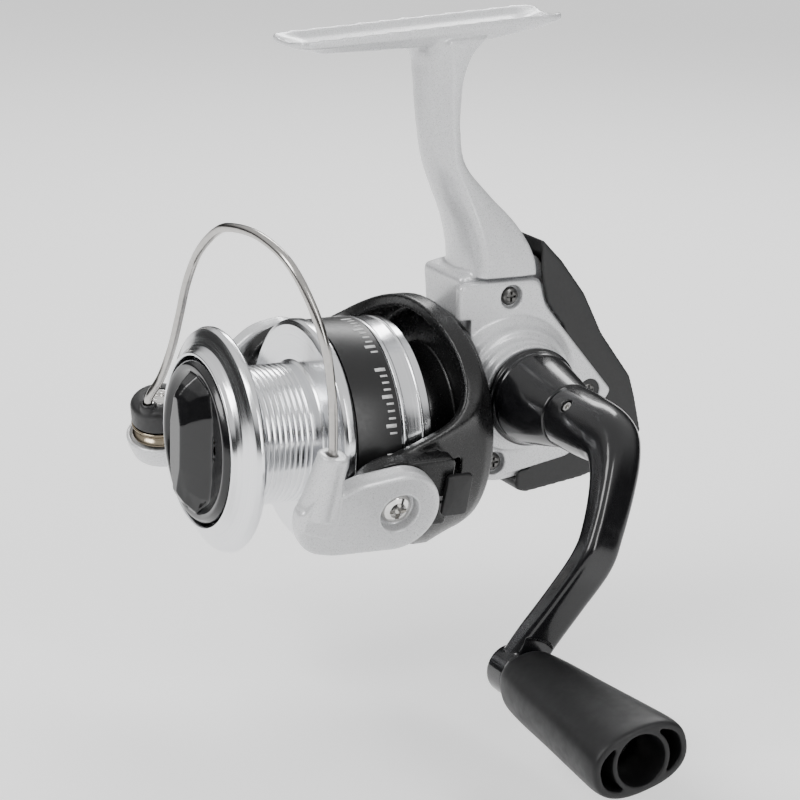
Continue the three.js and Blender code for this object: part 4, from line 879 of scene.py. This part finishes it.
def drag_dial():
    disc = lathe("disc", [(0, -48.9), (12.6, -48.9), (14.3, -50.4), (15.3, -50.5), (16.2, -49.5), (16.3, -48.4),
                          (16.3, -47.2), (10.4, -46.4), (10.4, -42.6), (7.4, -42.6), (7.4, -49), (0, -49)], 128, 0.25)
    rows = [(-48.6, 6.4, 15.0, 0.8), (-50.4, 5.3, 14.4, 0.75), (-52.6, 3.9, 12.4, 0.7), (-53.8, 3.0, 10.6, 0.6),
            (-54.2, 2.6, 9.8, 0.6)]
    rings = []
    for y, half_wide, half_long, waist in rows:
        right = [(half_wide, 0.0), (half_wide * 0.97, half_long * 0.42), (half_wide * waist, half_long * 0.72),
                 (half_wide * 0.34, half_long * 0.97)]
        ring = [(x, y, z) for x, z in right] + [(-x, y, z) for x, z in reversed(right)]
        ring += [(-x, y, -z) for x, z in right[1:]] + [(x, y, -z) for x, z in reversed(right[1:])]
        rings.append(ring)
    wing = loft("wing", rings)
    cuts = [y_rod(2.35, -49.6, -40)]
    return cast("drag_dial_moulding", [disc, wing], cuts, 0.2, 2)


piece(lathe("spool_turned", SPOOL_PROFILE, 224, ease=0.14), REEL, "spool_unit", ALUMINIUM, ["spool"], 24)
piece(spool_band(), REEL, "spool_unit", BAND, ["spool_capacity_band"])
piece(band_marks(), REEL, "spool_unit", INK, (), 0)
piece(drag_dial(), REEL, "drag_dial", GLOSS, ["drag_knob"], 0)

# ---------------------------------------------------------------- camera, light and floor

AZIMUTH, ELEVATION, ROLL = 62.59, 15.77, 1.8
DISTANCE, AIM_RIGHT, AIM_UP = 531.5, -4.46, 3.23
LENS, SENSOR = 117.0, 36.0


def add_camera():
    az, el, roll = (math.radians(a) for a in (AZIMUTH, ELEVATION, ROLL))
    back = Vector((math.sin(az) * math.cos(el), -math.cos(az) * math.cos(el), math.sin(el)))
    right = Vector((math.cos(az), math.sin(az), 0))
    up = back.cross(right)
    eye = back * DISTANCE + right * AIM_RIGHT + up * AIM_UP
    x_axis = right * math.cos(roll) + up * math.sin(roll)
    y_axis = -right * math.sin(roll) + up * math.cos(roll)
    data = bpy.data.cameras.new("camera")
    data.lens = LENS
    data.sensor_width = SENSOR
    data.clip_start = 0.01
    camera = bpy.data.objects.new("camera", data)
    bpy.context.scene.collection.objects.link(camera)
    rotation = Matrix((x_axis, y_axis, back)).transposed().to_4x4()
    camera.matrix_world = Matrix.Translation(AXIS + eye / 1000) @ rotation
    bpy.context.scene.camera = camera


def add_light(name, place, size, power, aim=(0, 0, 0)):
    data = bpy.data.lights.new(name, "AREA")
    data.shape = "RECTANGLE"
    data.size, data.size_y = size
    data.energy = power
    light = bpy.data.objects.new(name, data)
    bpy.context.scene.collection.objects.link(light)
    at = AXIS + Vector(place)
    toward = (AXIS + Vector(aim) - at).normalized()
    light.matrix_world = Matrix.Translation(at) @ toward.to_track_quat("-Z", "Y").to_matrix().to_4x4()


def add_floor():
    drop, half = 0.012, 3
    level = CAD_LOW.z - drop
    corners = [(-half, -half, level), (half, -half, level), (half, half, level), (-half, half, level)]
    floor = new_object("floor", corners, [[0, 1, 2, 3]])
    material = bpy.data.materials.new("pale_floor")
    material.use_nodes = True
    shader = material.node_tree.nodes["Principled BSDF"]
    shader.inputs["Base Color"].default_value = (0.93, 0.93, 0.93, 1)
    shader.inputs["Emission Color"].default_value = (1, 1, 1, 1)
    shader.inputs["Emission Strength"].default_value = 0.3
    shader.inputs["Roughness"].default_value = 0.7
    floor.data.materials.append(material)


def add_world():
    """A studio that is white overhead, with a dark band near the horizon for the metal to reflect."""
    world = bpy.data.worlds.new("studio")
    world.use_nodes = True
    nodes, links = world.node_tree.nodes, world.node_tree.links
    coordinates = nodes.new("ShaderNodeTexCoord")
    split = nodes.new("ShaderNodeSeparateXYZ")
    ramp = nodes.new("ShaderNodeValToRGB")
    stops = ((0.0, 0.9), (0.44, 0.9), (0.5, 0.05), (0.62, 0.04), (0.72, 0.85), (1.0, 1.0))
    height = nodes.new("ShaderNodeMapRange")
    height.inputs["From Min"].default_value = -1.0
    while len(ramp.color_ramp.elements) < len(stops):
        ramp.color_ramp.elements.new(0.5)
    for element, (position, value) in zip(ramp.color_ramp.elements, stops):
        element.position = position
        element.color = (value, value, value, 1)
    links.new(coordinates.outputs["Generated"], split.inputs["Vector"])
    links.new(split.outputs["Z"], height.inputs["Value"])
    links.new(height.outputs["Result"], ramp.inputs["Fac"])
    links.new(ramp.outputs["Color"], nodes["Background"].inputs["Color"])
    nodes["Background"].inputs["Strength"].default_value = 1.0
    bpy.context.scene.world = world


add_camera()
add_light("key", (0.1, -0.6, 0.5), (0.35, 0.35), 4.0, (0, 0, 0.01))
add_light("side", (0.75, 0.2, 0.3), (0.12, 0.6), 2.5)
add_light("rim", (-0.45, 0.35, 0.5), (0.5, 0.2), 3.0)
add_floor()
add_world()
